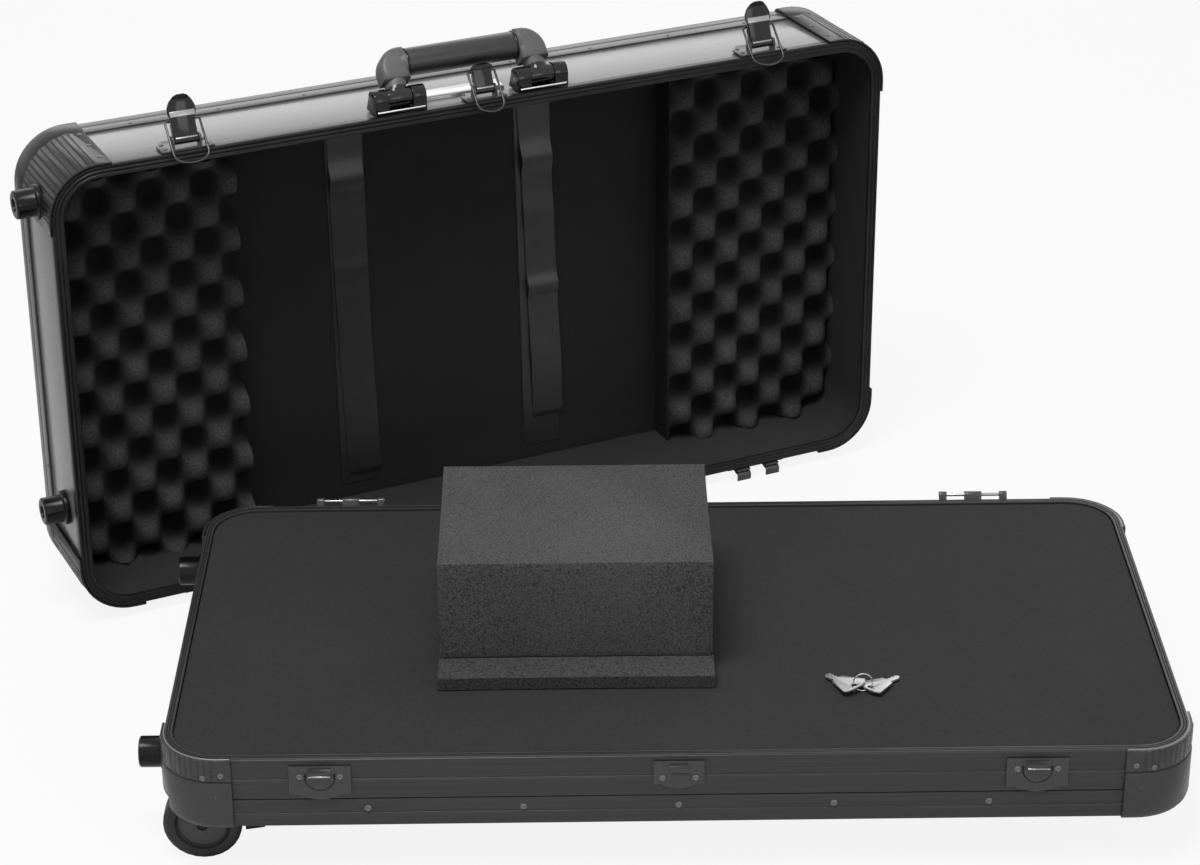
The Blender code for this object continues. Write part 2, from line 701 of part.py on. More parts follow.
for name, v in (("front", -CHANNEL_SPREAD), ("rear", CHANNEL_SPREAD)):
    inner = block(channel_start - CUT_OVERRUN, channel_end + CUT_OVERRUN, v - bore_half, v + bore_half,
                  channel_z - bore_rise, channel_z + bore_rise)
    cut(channels, finish(inner, f"cut_channel_{name}", "black steel"))
bearer_low = PANEL_TOP + GAP
for i, x0 in enumerate((channel_start, channel_end - CHANNEL_WIDTH)):
    bearer = block(x0, x0 + CHANNEL_WIDTH, -CHANNEL_SPREAD - half_wide, CHANNEL_SPREAD + half_wide, bearer_low,
                   channel_low + CHANNEL_WALL / 2)
    join(channels, finish(bearer, f"add_channel_bearer_{i}", "black steel"))

tube_half = bore_half - TUBE_CLEARANCE
tube_rise = bore_rise - TUBE_CLEARANCE
tube_start = channel_start + CHANNEL_WIDTH + CUT_OVERRUN
grip_out = HALF - EDGE_WALL / 2
grip_in = grip_out - PULL_GRIP_DEPTH
pull_axis = empty("pull_handle_axis", place=(grip_in, 0, channel_z))
bar_x = -PULL_WINDOW_GAP - GAP
tubes = finish(block(bar_x, -GAP, -CHANNEL_SPREAD - tube_half, CHANNEL_SPREAD + tube_half, -tube_rise, tube_rise),
               "pull_handle_tubes", "steel", parent=pull_axis)
for name, v in (("front", -CHANNEL_SPREAD), ("rear", CHANNEL_SPREAD)):
    tube = block(tube_start - grip_in, bar_x + TUBE_WALL / 2, v - tube_half, v + tube_half, -tube_rise, tube_rise)
    join(tubes, finish(tube, f"add_tube_{name}", "steel", parent=pull_axis))
for name, v in (("front", -CHANNEL_SPREAD), ("rear", CHANNEL_SPREAD)):
    hollow = block(tube_start - grip_in - CUT_OVERRUN, bar_x - TUBE_WALL, v - tube_half + TUBE_WALL,
                   v + tube_half - TUBE_WALL, TUBE_WALL - tube_rise, tube_rise - TUBE_WALL)
    cut(tubes, finish(hollow, f"cut_tube_{name}", "steel", parent=pull_axis))

half_grip = PULL_GRIP_LENGTH / 2
grip_rise = PULL_GRIP_HEIGHT / 2
grip = finish(block(0, PULL_GRIP_DEPTH, -half_grip, half_grip, -grip_rise, grip_rise), "pull_handle_grip", "plastic",
              parent=pull_axis)
half_button = BUTTON_LENGTH / 2
button_seat = PULL_GRIP_DEPTH - BUTTON_DEPTH - BUTTON_TRAVEL - GAP
pocket = block(button_seat, PULL_GRIP_DEPTH + CUT_OVERRUN, -half_button - GAP, half_button + GAP,
               -BUTTON_HEIGHT / 2 - GAP, BUTTON_HEIGHT / 2 + GAP)
cut(grip, finish(pocket, "cut_button_pocket", "plastic", parent=pull_axis))
finish(block(PULL_GRIP_DEPTH - BUTTON_DEPTH, PULL_GRIP_DEPTH, -half_button, half_button, -BUTTON_HEIGHT / 2,
             BUTTON_HEIGHT / 2), "pull_handle_button", "rubber", parent=pull_axis)
window = block(grip_in - CUT_OVERRUN, HALF + CUT_OVERRUN, -half_grip - PULL_WINDOW_GAP, half_grip + PULL_WINDOW_GAP,
               channel_z - grip_rise - PULL_WINDOW_GAP, channel_z + grip_rise + PULL_WINDOW_GAP)
window_cutter = finish(window, "cut_pull_window", "plastic")
cut(tray_rim, window_cutter)
cut(tray_edge, window_cutter)

# Lid: its frame stands on the floor behind the tray, turned to the left

lid_floor = FLOOR + LID_LIFT
lid = empty("lid_frame", place=(LID_X, LID_Y, lid_floor), turn=(0, 0, math.radians(LID_TURN_DEG)))

lip_line = grooved(0, FRAME_ROUND, LID_LIP, LID_LIP / 3, LID_LIP * 2 / 3)
lid_rim_section = [
    (0, LID_RIM_FLANGE),
    (0, FRAME_ROUND),
    *[(inset, depth) for depth, inset in lip_line],
    (LID_LIP, LID_LIP_THICKNESS),
    (LID_FRAME_WALL, LID_LIP_THICKNESS),
    (LID_FRAME_WALL, LID_RIM_FLANGE),
]
lid_rim = finish(frame_ring(lid_rim_section, upright=True), "lid_rim_frame", "anodised", parent=lid)

edge_start = LID_DEPTH - LID_EDGE_FLANGE
lid_edge_section = [
    *grooved(0, edge_start, LID_DEPTH - FRAME_ROUND * 2, (edge_start + LID_DEPTH) / 2),
    (FRAME_ROUND * 2, LID_DEPTH),
    (LID_EDGE_LIP, LID_DEPTH),
    (LID_EDGE_LIP, LID_DEPTH - LID_FRAME_WALL),
    (LID_FRAME_WALL * 2, LID_DEPTH - LID_FRAME_WALL),
    (LID_FRAME_WALL, LID_DEPTH - LID_FRAME_WALL * 2),
    (LID_FRAME_WALL, edge_start),
]
lid_edge = finish(frame_ring(lid_edge_section, upright=True), "lid_edge_frame", "anodised", parent=lid)

board_start = LID_LIP_THICKNESS + GAP
board_end = LID_BACK_INSIDE - GAP
board_section = [
    (BOARD_INSET, board_start),
    (BOARD_INSET, board_end),
    (BOARD_INSET + WALL_THICKNESS, board_end),
    (BOARD_INSET + WALL_THICKNESS, board_start),
]
finish(frame_ring(board_section, upright=True), "lid_wall_board", "laminate", parent=lid)
back_inset = LID_FRAME_WALL * 2 + GAP
finish(slab(back_inset, LID_BACK_INSIDE, LID_DEPTH - LID_FRAME_WALL - GAP, upright=True), "lid_back_panel", "laminate",
       parent=lid)

lid_cap_end = LID_DEPTH + GAP + CAP_WALL
ball_start = LID_DEPTH - LID_EDGE_FLANGE - CAP_RIB_DEPTH
lid_cap_section = [
    (-GAP, 0),
    (cap_outer, 0),
    (cap_outer, LID_RIM_FLANGE),
    (cap_outer, LID_RIM_FLANGE + CAP_RIB_DEPTH * 2, "rib"),
    (cap_outer, ball_start - CAP_RIB_DEPTH * 2, "rib"),
    (cap_outer, ball_start),
    (cap_outer - CAP_BULGE, ball_start + CAP_ROUND / 4),
    (cap_outer - CAP_BULGE, lid_cap_end - CAP_ROUND),
    (cap_outer, lid_cap_end - CAP_ROUND / 2),
    (cap_outer + CAP_WALL, lid_cap_end - CAP_ROUND / 5),
    (cap_outer + CAP_ROUND / 2, lid_cap_end),
    (CAP_LIP, lid_cap_end),
    (CAP_LIP, LID_DEPTH + GAP),
    (CAP_WALL, LID_DEPTH + GAP),
    (-GAP, LID_DEPTH - FRAME_ROUND * 2),
]
lid_corner_names = ("low_right", "high_right", "high_left", "low_left")
lid_caps = {
    lid_corner_names[i]: finish(corner_piece(i, lid_cap_section, upright=True), f"lid_corner_{lid_corner_names[i]}",
                                "cap", parent=lid)
    for i in range(4)
}

# Glides moulded on the two caps at the floor, as high as the hinge hooks
glide_x = HALF - CORNER_RADIUS - CAP_LEG / 2
for name, x in (("low_right", glide_x), ("low_left", -glide_x)):
    glide = turned([(STAND_TIP_RADIUS / 2, cap_outer / 2), (STAND_TIP_RADIUS / 2, -LID_LIFT)], "z", STUB_STEPS // 2, x,
                   (ball_start + LID_DEPTH) / 2)
    join(lid_caps[name], finish(glide, f"add_glide_{name}", "cap", parent=lid))

for name, z in (("low", LID_STUB_LOW), ("high", LID_STUB_HIGH)):
    stub_foot(f"lid_stub_foot_{name}", lid_caps[f"{name}_left"], lid,
              (-HALF + BOARD_INSET - GAP, LID_STUB_DEPTH, z))

# Lid: hinge leaves with two hooks, which close round the pins from above

pin_depth = PIN_RISE - RIM_RISE - CLOSED_GAP
hook_inner = PIN_RADIUS + TUBE_CLEARANCE
hook_outer = hook_inner + HOOK_WALL


def hook_outline():
    """Side view (depth, height) of a hook: a neck from the leaf, over the pin and down in front of it."""
    outer = [(pin_depth + hook_outer * math.cos(a), -PIN_OFFSET + hook_outer * math.sin(a))
             for a in [math.radians(45 + 135 * i / HOOK_STEPS) for i in range(HOOK_STEPS + 1)]]
    inner = [(pin_depth + hook_inner * math.cos(a), -PIN_OFFSET + hook_inner * math.sin(a))
             for a in [math.radians(45 + 135 * i / HOOK_STEPS) for i in range(HOOK_STEPS + 1)]]
    tip = -LID_LIFT
    neck = -GAP - LEAF_THICKNESS
    return [
        (pin_depth + hook_outer * 2, neck + LEAF_THICKNESS / 2),
        (pin_depth + hook_outer * 2, neck - HOOK_WALL / 2),
        (pin_depth + hook_inner, -PIN_OFFSET + hook_inner),
        *inner,
        (pin_depth - hook_inner + HOOK_WALL / 3, tip),
        (pin_depth - hook_outer + HOOK_WALL / 3, tip),
        *reversed(outer[3:]),
        (pin_depth - hook_outer / 2, neck + LEAF_THICKNESS / 2),
    ]


for name, centre in (("left", -HINGE_X), ("right", HINGE_X)):
    half = HINGE_LENGTH / 2
    spans = knuckle_spans(centre)
    leaf_near = pin_depth + hook_outer
    leaf = finish(block(centre - half, centre + half, leaf_near, leaf_near + LEAF_HEIGHT, -GAP - LEAF_THICKNESS, -GAP),
                  f"lid_hinge_{name}", "black steel", parent=lid)
    for i in range(2):
        x0, x1 = spans[i][1] + HOOK_SIDE_GAP, spans[i + 1][0] - HOOK_SIDE_GAP
        tab = block(x0, x1, pin_depth - hook_outer / 2, leaf_near + LEAF_THICKNESS, -GAP - LEAF_THICKNESS, -GAP)
        join(leaf, finish(tab, f"add_tab_{name}_{i}", "black steel", parent=lid))
        join(leaf, finish(prism(hook_outline(), "x", x0, x1), f"add_hook_{name}_{i}", "black steel", parent=lid))

# Lid: draw latches

lid_top = CASE_DEPTH


def lever_outline(share, length, rise):
    """Stops along the lever: (place, width, under side, upper side), from its pivot end to its spoon tip."""
    body = LEVER_BODY
    wide = LEVER_WIDTH * share
    spoon = LEVER_SPOON_WIDTH * share
    thick = LEVER_THICKNESS
    thin = LEVER_SPOON_THICKNESS
    rest = length - body
    under = -thick / 2
    foot = thick / 4
    return [
        (-thick / 2, wide, under + thick / 4, thick / 4),
        (-thick / 4, wide, under, thick / 2),
        (body - thick / 2, wide, under, thick / 2),
        (body, wide, thick / 6, thick / 2),
        (body + rest / 4, spoon, foot, foot + thin),
        (body + rest / 2, spoon, foot + rise / 16, foot + rise / 16 + thin),
        (body + rest * 3 / 4, spoon * 4 / 5, rise / 2, rise / 2 + thin),
        (body + rest * 15 / 16, spoon / 2, rise * 7 / 8, rise * 7 / 8 + thin),
        (body + rest, spoon / 4, rise, rise + thin),
    ]


def latch(name, centre, share, length, rise):
    """Plate with two ears and a pivot, the lever raised on it, and the wire bail that hangs from the lever."""
    half = LATCH_PLATE_WIDTH * share / 2
    wall = lid_top + GAP
    near = LATCH_EDGE
    far = near + LATCH_PLATE_DEPTH * share
    slope = (far - near) / 3
    outline = [(centre - half, near), (centre + half, near), (centre + half, far - slope), (centre + half * 2 / 3, far),
               (centre - half * 2 / 3, far), (centre - half, far - slope)]
    plate = finish(prism(outline, "z", wall, wall + LATCH_PLATE), f"{name}_plate", "black steel", parent=lid)
    lever_half = LEVER_WIDTH * share / 2
    ear_in = lever_half + GAP * 2
    pivot_z = wall + LATCH_PIVOT_RISE
    ear = [(LATCH_PIVOT_DEPTH - LATCH_EAR_RADIUS, wall + LATCH_PLATE / 2)]
    ear += [(LATCH_PIVOT_DEPTH + LATCH_EAR_RADIUS * math.cos(a), pivot_z + LATCH_EAR_RADIUS * math.sin(a))
            for a in [math.pi - math.pi * i / 6 for i in range(7)]]
    ear.append((LATCH_PIVOT_DEPTH + LATCH_EAR_RADIUS, wall + LATCH_PLATE / 2))
    for i, side in enumerate((-1, 1)):
        x0, x1 = sorted((centre + side * ear_in, centre + side * (ear_in + LATCH_EAR_THICKNESS)))
        join(plate, finish(prism(ear, "x", x0, x1), f"add_{name}_ear_{i}", "black steel", parent=lid))
    reach = ear_in + LATCH_EAR_THICKNESS / 2
    pin = turned([(LATCH_PIN_RADIUS, centre - reach), (LATCH_PIN_RADIUS, centre + reach)], "x", HOOK_STEPS,
                 LATCH_PIVOT_DEPTH, pivot_z)
    join(plate, finish(pin, f"add_{name}_pin", "black steel", parent=lid))

    # The lever's length runs along its own +Y, and its turn raises it from the wall
    rings = [[(-w / 2, s, low), (w / 2, s, low), (w / 2, s, high), (-w / 2, s, high)]
             for s, w, low, high in lever_outline(share, length, rise)]
    lever = finish(loft(rings), f"{name}_lever", "black steel", parent=lid, place=(centre, LATCH_PIVOT_DEPTH, pivot_z),
                   turn=(math.radians(LEVER_UP_DEG), 0, 0), smooth=50)
    hole = turned([(LATCH_PIN_RADIUS + GAP, -half), (LATCH_PIN_RADIUS + GAP, half)], "x", HOOK_STEPS)
    cut(lever, finish(hole, f"cut_{name}_lever", "black steel", parent=lever))

    # The bail: stubs against the lever's sides, straight legs and a round end
    leg = BAIL_HALF_WIDTH * share
    bend = BAIL_END_RADIUS
    stub = lever_half + GAP
    reach = BAIL_LENGTH - bend
    points = [(-stub, 0), (-leg + BAIL_WIRE, 0), (-leg, BAIL_WIRE), (-leg, reach)]
    for i in range(1, 8):
        a = math.pi - math.pi * i / 8
        points.append((leg * math.cos(a), reach + bend * math.sin(a)))
    points += [(leg, reach), (leg, BAIL_WIRE), (leg - BAIL_WIRE, 0), (stub, 0)]
    line = bpy.data.curves.new(f"{name}_bail", "CURVE")
    line.dimensions = "3D"
    line.bevel_depth = BAIL_WIRE
    line.bevel_resolution = 1
    line.use_fill_caps = True
    line.resolution_u = 1
    spline = line.splines.new("POLY")
    spline.points.add(len(points[1:]))
    for point, (x, y) in zip(spline.points, points):
        point.co = (x, y, 0, 1)
    bail = bpy.data.objects.new(f"{name}_bail", line)
    bpy.context.collection.objects.link(bail)
    line.materials.append(material(f"{name}_bail", *LOOKS["black steel"]))
    bail.parent = lever
    bail.location = (0, BAIL_SEAT, 0)
    bail.rotation_euler = (math.radians(BAIL_HANG_DEG), 0, 0)


latch("latch_left", -LATCH_X, 1, LEVER_LENGTH, LEVER_RISE)
latch("latch_middle", 0, LATCH_SMALL_SHARE, LEVER_SMALL_LENGTH, LEVER_SMALL_RISE)
latch("latch_right", LATCH_X, 1, LEVER_LENGTH, LEVER_RISE)

# Lid: carrying handle

handle_z = lid_top + GAP + HANDLE_PIVOT_RISE
for name, side in (("left", -1), ("right", 1)):
    centre = HANDLE_X + side * HANDLE_SPREAD
    half = HANDLE_BRACKET_LENGTH / 2
    wall = lid_top + GAP
    near = HANDLE_PIVOT_DEPTH - HANDLE_BARREL_RADIUS
    far = near + HANDLE_BRACKET_DEPTH
    base = block(centre - half, centre + half, near, far, wall, wall + HANDLE_BRACKET_BASE)
    bracket = finish(base, f"handle_bracket_{name}", "plastic", parent=lid)
    cheek = [(near, wall + HANDLE_BRACKET_BASE / 2)]
    cheek += [(HANDLE_PIVOT_DEPTH + HANDLE_BARREL_RADIUS * math.cos(a),
               handle_z + HANDLE_BARREL_RADIUS * math.sin(a)) for a in [math.pi - math.pi * i / 8 for i in range(9)]]
    cheek.append((far, wall + HANDLE_BRACKET_BASE / 2))
    gap_half = HANDLE_KNUCKLE_LENGTH / 2 + GAP * 2
    for i, (x0, x1) in enumerate(((centre - half, centre - gap_half), (centre + gap_half, centre + half))):
        join(bracket, finish(prism(cheek, "x", x0, x1), f"add_cheek_{name}_{i}", "plastic", parent=lid))
    reach = gap_half + HANDLE_BRACKET_BASE
    pin = turned([(HANDLE_PIN_RADIUS, centre - reach), (HANDLE_PIN_RADIUS, centre + reach)], "x", HOOK_STEPS,
                 HANDLE_PIVOT_DEPTH, handle_z)
    join(bracket, finish(pin, f"add_pin_{name}", "plastic", parent=lid))


def handle_ring(x, reach, lean, across, along):
    """One stop of the handle's round bar, which bends in its own X-Y plane."""
    ring = []
    for i in range(HANDLE_STEPS):
        a = 2 * math.pi * i / HANDLE_STEPS
        side = across * math.cos(a)
        ring.append((x + side * math.cos(lean), reach + side * math.sin(lean), along * math.sin(a)))
    return ring


stops = []
arm_run = HANDLE_SPREAD - HANDLE_GRIP_HALF
for i in range(6):
    t = math.radians(90) * i / 5
    x = HANDLE_GRIP_HALF + arm_run * math.sin(t)
    reach = HANDLE_REACH * math.cos(t)
    share = i / 5
    across = HANDLE_GRIP_RADIUS + (HANDLE_ARM_HALF - HANDLE_GRIP_RADIUS) * share
    along = HANDLE_GRIP_RADIUS + (HANDLE_KNUCKLE_RADIUS - GAP - HANDLE_GRIP_RADIUS) * share
    stops.append((x, reach, math.radians(90) - t, across, along))
right_side = [handle_ring(*stop) for stop in stops]
left_side = [[(-x, y, z) for x, y, z in ring] for ring in reversed(right_side)]
handle_axis = empty("handle_axis", parent=lid, place=(HANDLE_X, HANDLE_PIVOT_DEPTH, handle_z),
                    turn=(math.radians(HANDLE_UP_DEG), 0, 0))
handle = finish(loft([*left_side, *right_side]), "handle_grip", "rubber", parent=handle_axis, smooth=60)
for name, side in (("left", -1), ("right", 1)):
    half = HANDLE_KNUCKLE_LENGTH / 2
    x = side * HANDLE_SPREAD
    knuckle = turned([(HANDLE_KNUCKLE_RADIUS, x - half), (HANDLE_KNUCKLE_RADIUS, x + half)], "x", HANDLE_STEPS)
    join(handle, finish(knuckle, f"add_handle_knuckle_{name}", "rubber", parent=handle_axis))
for name, side in (("left", -1), ("right", 1)):
    half = HANDLE_KNUCKLE_LENGTH
    x = side * HANDLE_SPREAD
    hole = turned([(HANDLE_PIN_RADIUS + GAP, x - half), (HANDLE_PIN_RADIUS + GAP, x + half)], "x", HOOK_STEPS)
    cut(handle, finish(hole, f"cut_handle_{name}", "rubber", parent=handle_axis))

plate_half = PLATE_LENGTH / 2
finish(block(HANDLE_X - plate_half, HANDLE_X + plate_half, PLATE_SETBACK - PLATE_DEPTH, PLATE_SETBACK,
             lid_top - BOARD_INSET + GAP, lid_top + PLATE_THICKNESS), "handle_plate", "brushed", parent=lid)

# Lid: egg-crate pads and webbing straps on the back panel

pad_back = LID_BACK_INSIDE - GAP
pad_floor = BOARD_INSET + WALL_THICKNESS + GAP


room = finish(slab(pad_floor, 0, LID_DEPTH, upright=True), "keep_lid_room", "foam", parent=lid)


def egg_crate(name, outer_x, side):
    """A pad whose crests and hollows stand in a slanting check, facing the rim."""
    mesh = bmesh.new()
    grid = []
    for i in range(PAD_COLUMNS + 1):
        column = []
        for j in range(PAD_ROWS + 1):
            x = PAD_LENGTH * i / PAD_COLUMNS
            z = PAD_HEIGHT * j / PAD_ROWS
            wave = math.sin(2 * math.pi * (x / PAD_PITCH_X + z / PAD_PITCH_Z / 2))
            wave *= math.sin(2 * math.pi * (x / PAD_PITCH_X - z / PAD_PITCH_Z) / 2)
            rise = PAD_BASE + PAD_CREST * (1 + wave) / 2
            column.append(mesh.verts.new((outer_x + side * x, pad_back - rise, pad_floor + z)))
        grid.append(column)
    foot = [[mesh.verts.new((vert.co.x, pad_back, vert.co.z)) for vert in column] for column in grid]
    for i in range(PAD_COLUMNS):
        for j in range(PAD_ROWS):
            mesh.faces.new((grid[i][j], grid[i + 1][j], grid[i + 1][j + 1], grid[i][j + 1]))
    edge = [(i, 0) for i in range(PAD_COLUMNS)] + [(PAD_COLUMNS, j) for j in range(PAD_ROWS)]
    edge += [(i, PAD_ROWS) for i in range(PAD_COLUMNS, 0, -1)] + [(0, j) for j in range(PAD_ROWS, 0, -1)]
    for (i, j), (k, m) in zip(edge, edge[1:] + edge[:1]):
        mesh.faces.new((grid[i][j], foot[i][j], foot[k][m], grid[k][m]))
    mesh.faces.new([foot[i][j] for i, j in edge])
    for column in foot:
        for vert in column:
            if not vert.link_faces:
                mesh.verts.remove(vert)
    pad = finish(mesh, name, "foam", parent=lid, smooth=80)
    keep_inside(pad, room)


pad_wall = HALF - BOARD_INSET - WALL_THICKNESS - GAP
egg_crate("egg_crate_left", -pad_wall, 1)
egg_crate("egg_crate_right", pad_wall, -1)


def strap(name, centre):
    """Webbing down the back panel: folded double at its lower end, with a shallow slack in its length."""
    rings = []
    for i in range(STRAP_ROWS + 1):
        t = i / STRAP_ROWS
        z = STRAP_LOW + STRAP_LENGTH * t
        slack = STRAP_SAG * math.sin(2 * math.pi * t) ** 2
        back = pad_back
        front = pad_back - STRAP_THICKNESS - slack
        half = STRAP_WIDTH / 2
        shift = STRAP_SAG * math.sin(math.pi * t)
        rings.append([(centre - half + shift, front, z), (centre + half + shift, front, z),
                      (centre + half + shift, back, z), (centre - half + shift, back, z)])
    finish(loft(rings), name, "webbing", parent=lid)


strap("strap_left", STRAP_LEFT_X)
strap("strap_right", STRAP_RIGHT_X)

# Loose on the tray: slab, block, keys and ring


def foam_box(name, length, y0, y1, low, high):
    """A cut foam box whose long sides bow in slightly."""
    half = length / 2
    outline = []
    for i in range(5):
        t = i / 4
        outline.append((BLOCK_X - half + length * t, y0 + FOAM_BOW * math.sin(math.pi * t)))
    for i in range(5):
        t = i / 4
        outline.append((BLOCK_X + half - length * t, y1 - FOAM_BOW * math.sin(math.pi * t)))
    return finish(prism(outline, "z", low, high), name, "grey foam")


slab_y = FRONT + SLAB_SETBACK
foam_box("foam_slab", SLAB_LENGTH, slab_y, slab_y + SLAB_DEPTH, GAP, SLAB_THICKNESS)
block_y = FRONT + BLOCK_SETBACK
foam_box("foam_block", BLOCK_LENGTH, block_y, block_y + BLOCK_DEPTH, SLAB_THICKNESS + GAP, BLOCK_TOP)

keys_y = FRONT + KEYS_SETBACK


ring_z = GAP + RING_WIRE + RING_RADIUS


def key(name, side, lift, turn):
    """A flat key round its hole: a fan-shaped bow and a blade along its own +X, toothed on the side of side.

    The ring holds the hole up at lift, and the blade's tip lies on the liner.
    """
    spread = math.sqrt(RING_RADIUS ** 2 - (ring_z - lift) ** 2)
    outline = []
    for i in range(9):
        a = math.radians(90) * (i - 4) / 4
        outline.append((-KEY_BOW_BULGE * math.cos(a), -side * KEY_BOW_HALF_WIDTH * math.sin(a)))
    tip = KEY_BOW_LENGTH + KEY_BLADE_LENGTH
    half = KEY_BLADE_HALF_WIDTH
    step = KEY_BLADE_LENGTH / 4
    outline += [(KEY_BOW_LENGTH, -side * KEY_NECK_HALF_WIDTH), (KEY_BOW_LENGTH, -side * half),
                (tip - half, -side * half), (tip, 0)]
    for i in range(3, 0, -1):
        x = KEY_BOW_LENGTH + step * i
        outline += [(x, side * half), (x - step / 2, side * (half - KEY_TOOTH))]
    outline += [(KEY_BOW_LENGTH, side * half), (KEY_BOW_LENGTH, side * KEY_NECK_HALF_WIDTH)]
    pitch = math.asin((lift - KEY_THICKNESS / 2 - GAP * 3) / tip)
    made = finish(prism(outline, "z", -KEY_THICKNESS / 2, KEY_THICKNESS / 2), name, "steel",
                  place=(KEYS_X + side * spread, keys_y, lift), turn=(math.radians(KEY_ROLL_DEG), pitch, math.radians(turn)))
    hole = turned([(KEY_HOLE_RADIUS, -KEY_THICKNESS), (KEY_HOLE_RADIUS, KEY_THICKNESS)], "z", HOOK_STEPS)
    cut(made, finish(hole, f"cut_{name}", "steel", parent=made))


key("key_left", -1, KEY_LIFT_LEFT, KEY_TURN_LEFT_DEG)
key("key_right", 1, KEY_LIFT_RIGHT, KEY_TURN_RIGHT_DEG)

# The ring stands in the X-Z plane and runs down through both holes
ring_stops = [2 * math.pi * i / RING_STEPS for i in range(RING_STEPS)]
ring_mesh = loft([[(math.cos(a) * (RING_RADIUS + u), v, math.sin(a) * (RING_RADIUS + u))
                   for u, v in circle(RING_WIRE, 6)] for a in ring_stops], closed=True)
finish(ring_mesh, "key_ring", "steel", place=(KEYS_X, keys_y, ring_z))

# The origin, on the floor under the middle of the whole group
for made in list(bpy.data.objects):
    if made.parent is None:
        made.location -= Vector((GROUP_MIDDLE_X, GROUP_MIDDLE_Y, FLOOR))
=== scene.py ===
# %% [markdown]
# # Dressing a trolley case in Blender
# The case lies open: a low tray in front, filled level with dark foam, and its deep lid
# unhooked and stood on its hinge side behind it. The solid parts come from the CAD frame.
# This lesson gives them their finishes, and adds what a solid model leaves out: foam, webbing,
# rivets, beads, bright trims. Each cell makes one thing and says what it measured.

# %% Load the frame
import bpy
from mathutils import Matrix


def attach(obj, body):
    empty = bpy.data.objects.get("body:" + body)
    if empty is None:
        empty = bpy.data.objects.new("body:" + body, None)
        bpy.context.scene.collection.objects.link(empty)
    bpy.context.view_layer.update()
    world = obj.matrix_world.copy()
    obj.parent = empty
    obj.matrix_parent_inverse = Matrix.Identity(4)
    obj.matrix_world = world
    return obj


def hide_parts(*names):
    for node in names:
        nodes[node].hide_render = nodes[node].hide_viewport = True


bpy.ops.wm.read_factory_settings(use_empty=True)
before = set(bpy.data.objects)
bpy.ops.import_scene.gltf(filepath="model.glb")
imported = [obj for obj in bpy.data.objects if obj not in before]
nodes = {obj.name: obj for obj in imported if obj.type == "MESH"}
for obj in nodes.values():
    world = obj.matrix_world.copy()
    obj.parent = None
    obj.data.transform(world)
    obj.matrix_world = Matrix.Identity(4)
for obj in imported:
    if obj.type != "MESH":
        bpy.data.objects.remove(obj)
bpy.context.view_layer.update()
import math
from mathutils import Matrix, Vector, noise

# %% [markdown]
# Two halves, two places to stand. Every measure on the tray is easiest from the middle of its
# foam top, and every measure on the lid from the middle of its hinge side, with Y going from the
# open rim to the back. Two matrices bring such measures into the frame that the CAD uses. The
# large latches stand LATCH_X to each side of the middle one, which is smaller by SMALL.

# %% Where the tray and the lid stand
TRAY = Matrix.Translation((0.07802, -0.199729, 0.104))
LID = Matrix.Translation((-0.07198, 0.151271, 0.0115)) @ Matrix.Rotation(math.radians(24.77), 4, "Z")
HALF, DEPTH, CORNER = 0.400, 0.420, 0.045
LATCH_X, SMALL = 0.276, 0.82
print("foam top of the tray is at", [round(v, 4) for v in TRAY.translation])

# %% [markdown]
# Operators act on whatever is selected, and loading leaves every CAD node selected. So the first
# helpers clear the selection, pick one piece, and pick faces, edges or corners by their place.
# Two more begin a piece: from one of Blender's primitives, or from a list of points and faces.

# %% Helpers for picking
def clear_selection():
    """Nothing is selected and nothing is active."""
    if bpy.context.object and bpy.context.object.mode != "OBJECT":
        bpy.ops.object.mode_set(mode="OBJECT")
    bpy.ops.object.select_all(action="DESELECT")


def only(piece):
    """This piece alone is selected and active."""
    clear_selection()
    piece.select_set(True)
    bpy.context.view_layer.objects.active = piece


def pick(piece, kind, test):
    """Goes into edit mode with just the faces, edges or corners that pass a test."""
    only(piece)
    bpy.ops.object.mode_set(mode="EDIT")
    bpy.ops.mesh.select_mode(type=kind)
    bpy.ops.mesh.select_all(action="DESELECT")
    bpy.ops.object.mode_set(mode="OBJECT")
    parts = {"VERT": piece.data.vertices, "EDGE": piece.data.edges, "FACE": piece.data.polygons}
    for part in parts[kind]:
        part.select = bool(test(part))
    bpy.ops.object.mode_set(mode="EDIT")


def edit_all():
    """Goes into edit mode with everything of the active piece selected."""
    bpy.ops.object.mode_set(mode="EDIT")
    bpy.ops.mesh.select_all(action="SELECT")


def begin(name, add, scale=(1, 1, 1), **settings):
    """A new primitive with its name and its size applied."""
    clear_selection()
    add(**settings)
    piece = bpy.context.object
    piece.name = name
    piece.scale = scale
    bpy.ops.object.transform_apply(location=False, rotation=False, scale=True)
    return piece


def drawn(name, points, faces):
    """A new piece from points and faces, alone selected."""
    mesh = bpy.data.meshes.new(name)
    mesh.from_pydata(points, [], faces)
    piece = bpy.data.objects.new(name, mesh)
    bpy.context.scene.collection.objects.link(piece)
    only(piece)
    return piece


clear_selection()
print("nothing is selected now:", len(bpy.context.selected_objects), "objects")

# %% [markdown]
# A finished piece has its place in its mesh, like a CAD node: its object is at the origin. One
# helper puts the piece into the tray's or the lid's place, applies that, gives it its finish,
# and lets it ride on a body, so that it moves when the case opens.

# %% Helper for settling a piece
def settle(piece, body, finish, place=None, smooth=35):
    """Puts a piece in its place for good, dresses it and lets it ride on a body."""
    only(piece)
    if place is not None:
        piece.matrix_world = place @ piece.matrix_world
    bpy.ops.object.transform_apply(location=True, rotation=True, scale=True)
    if smooth:
        bpy.ops.object.shade_smooth_by_angle(angle=math.radians(smooth))
    piece.data.materials.clear()
    piece.data.materials.append(finish)
    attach(piece, body)
    print(piece.name, "rides on", body, "with", len(piece.data.polygons), "faces")
    return piece


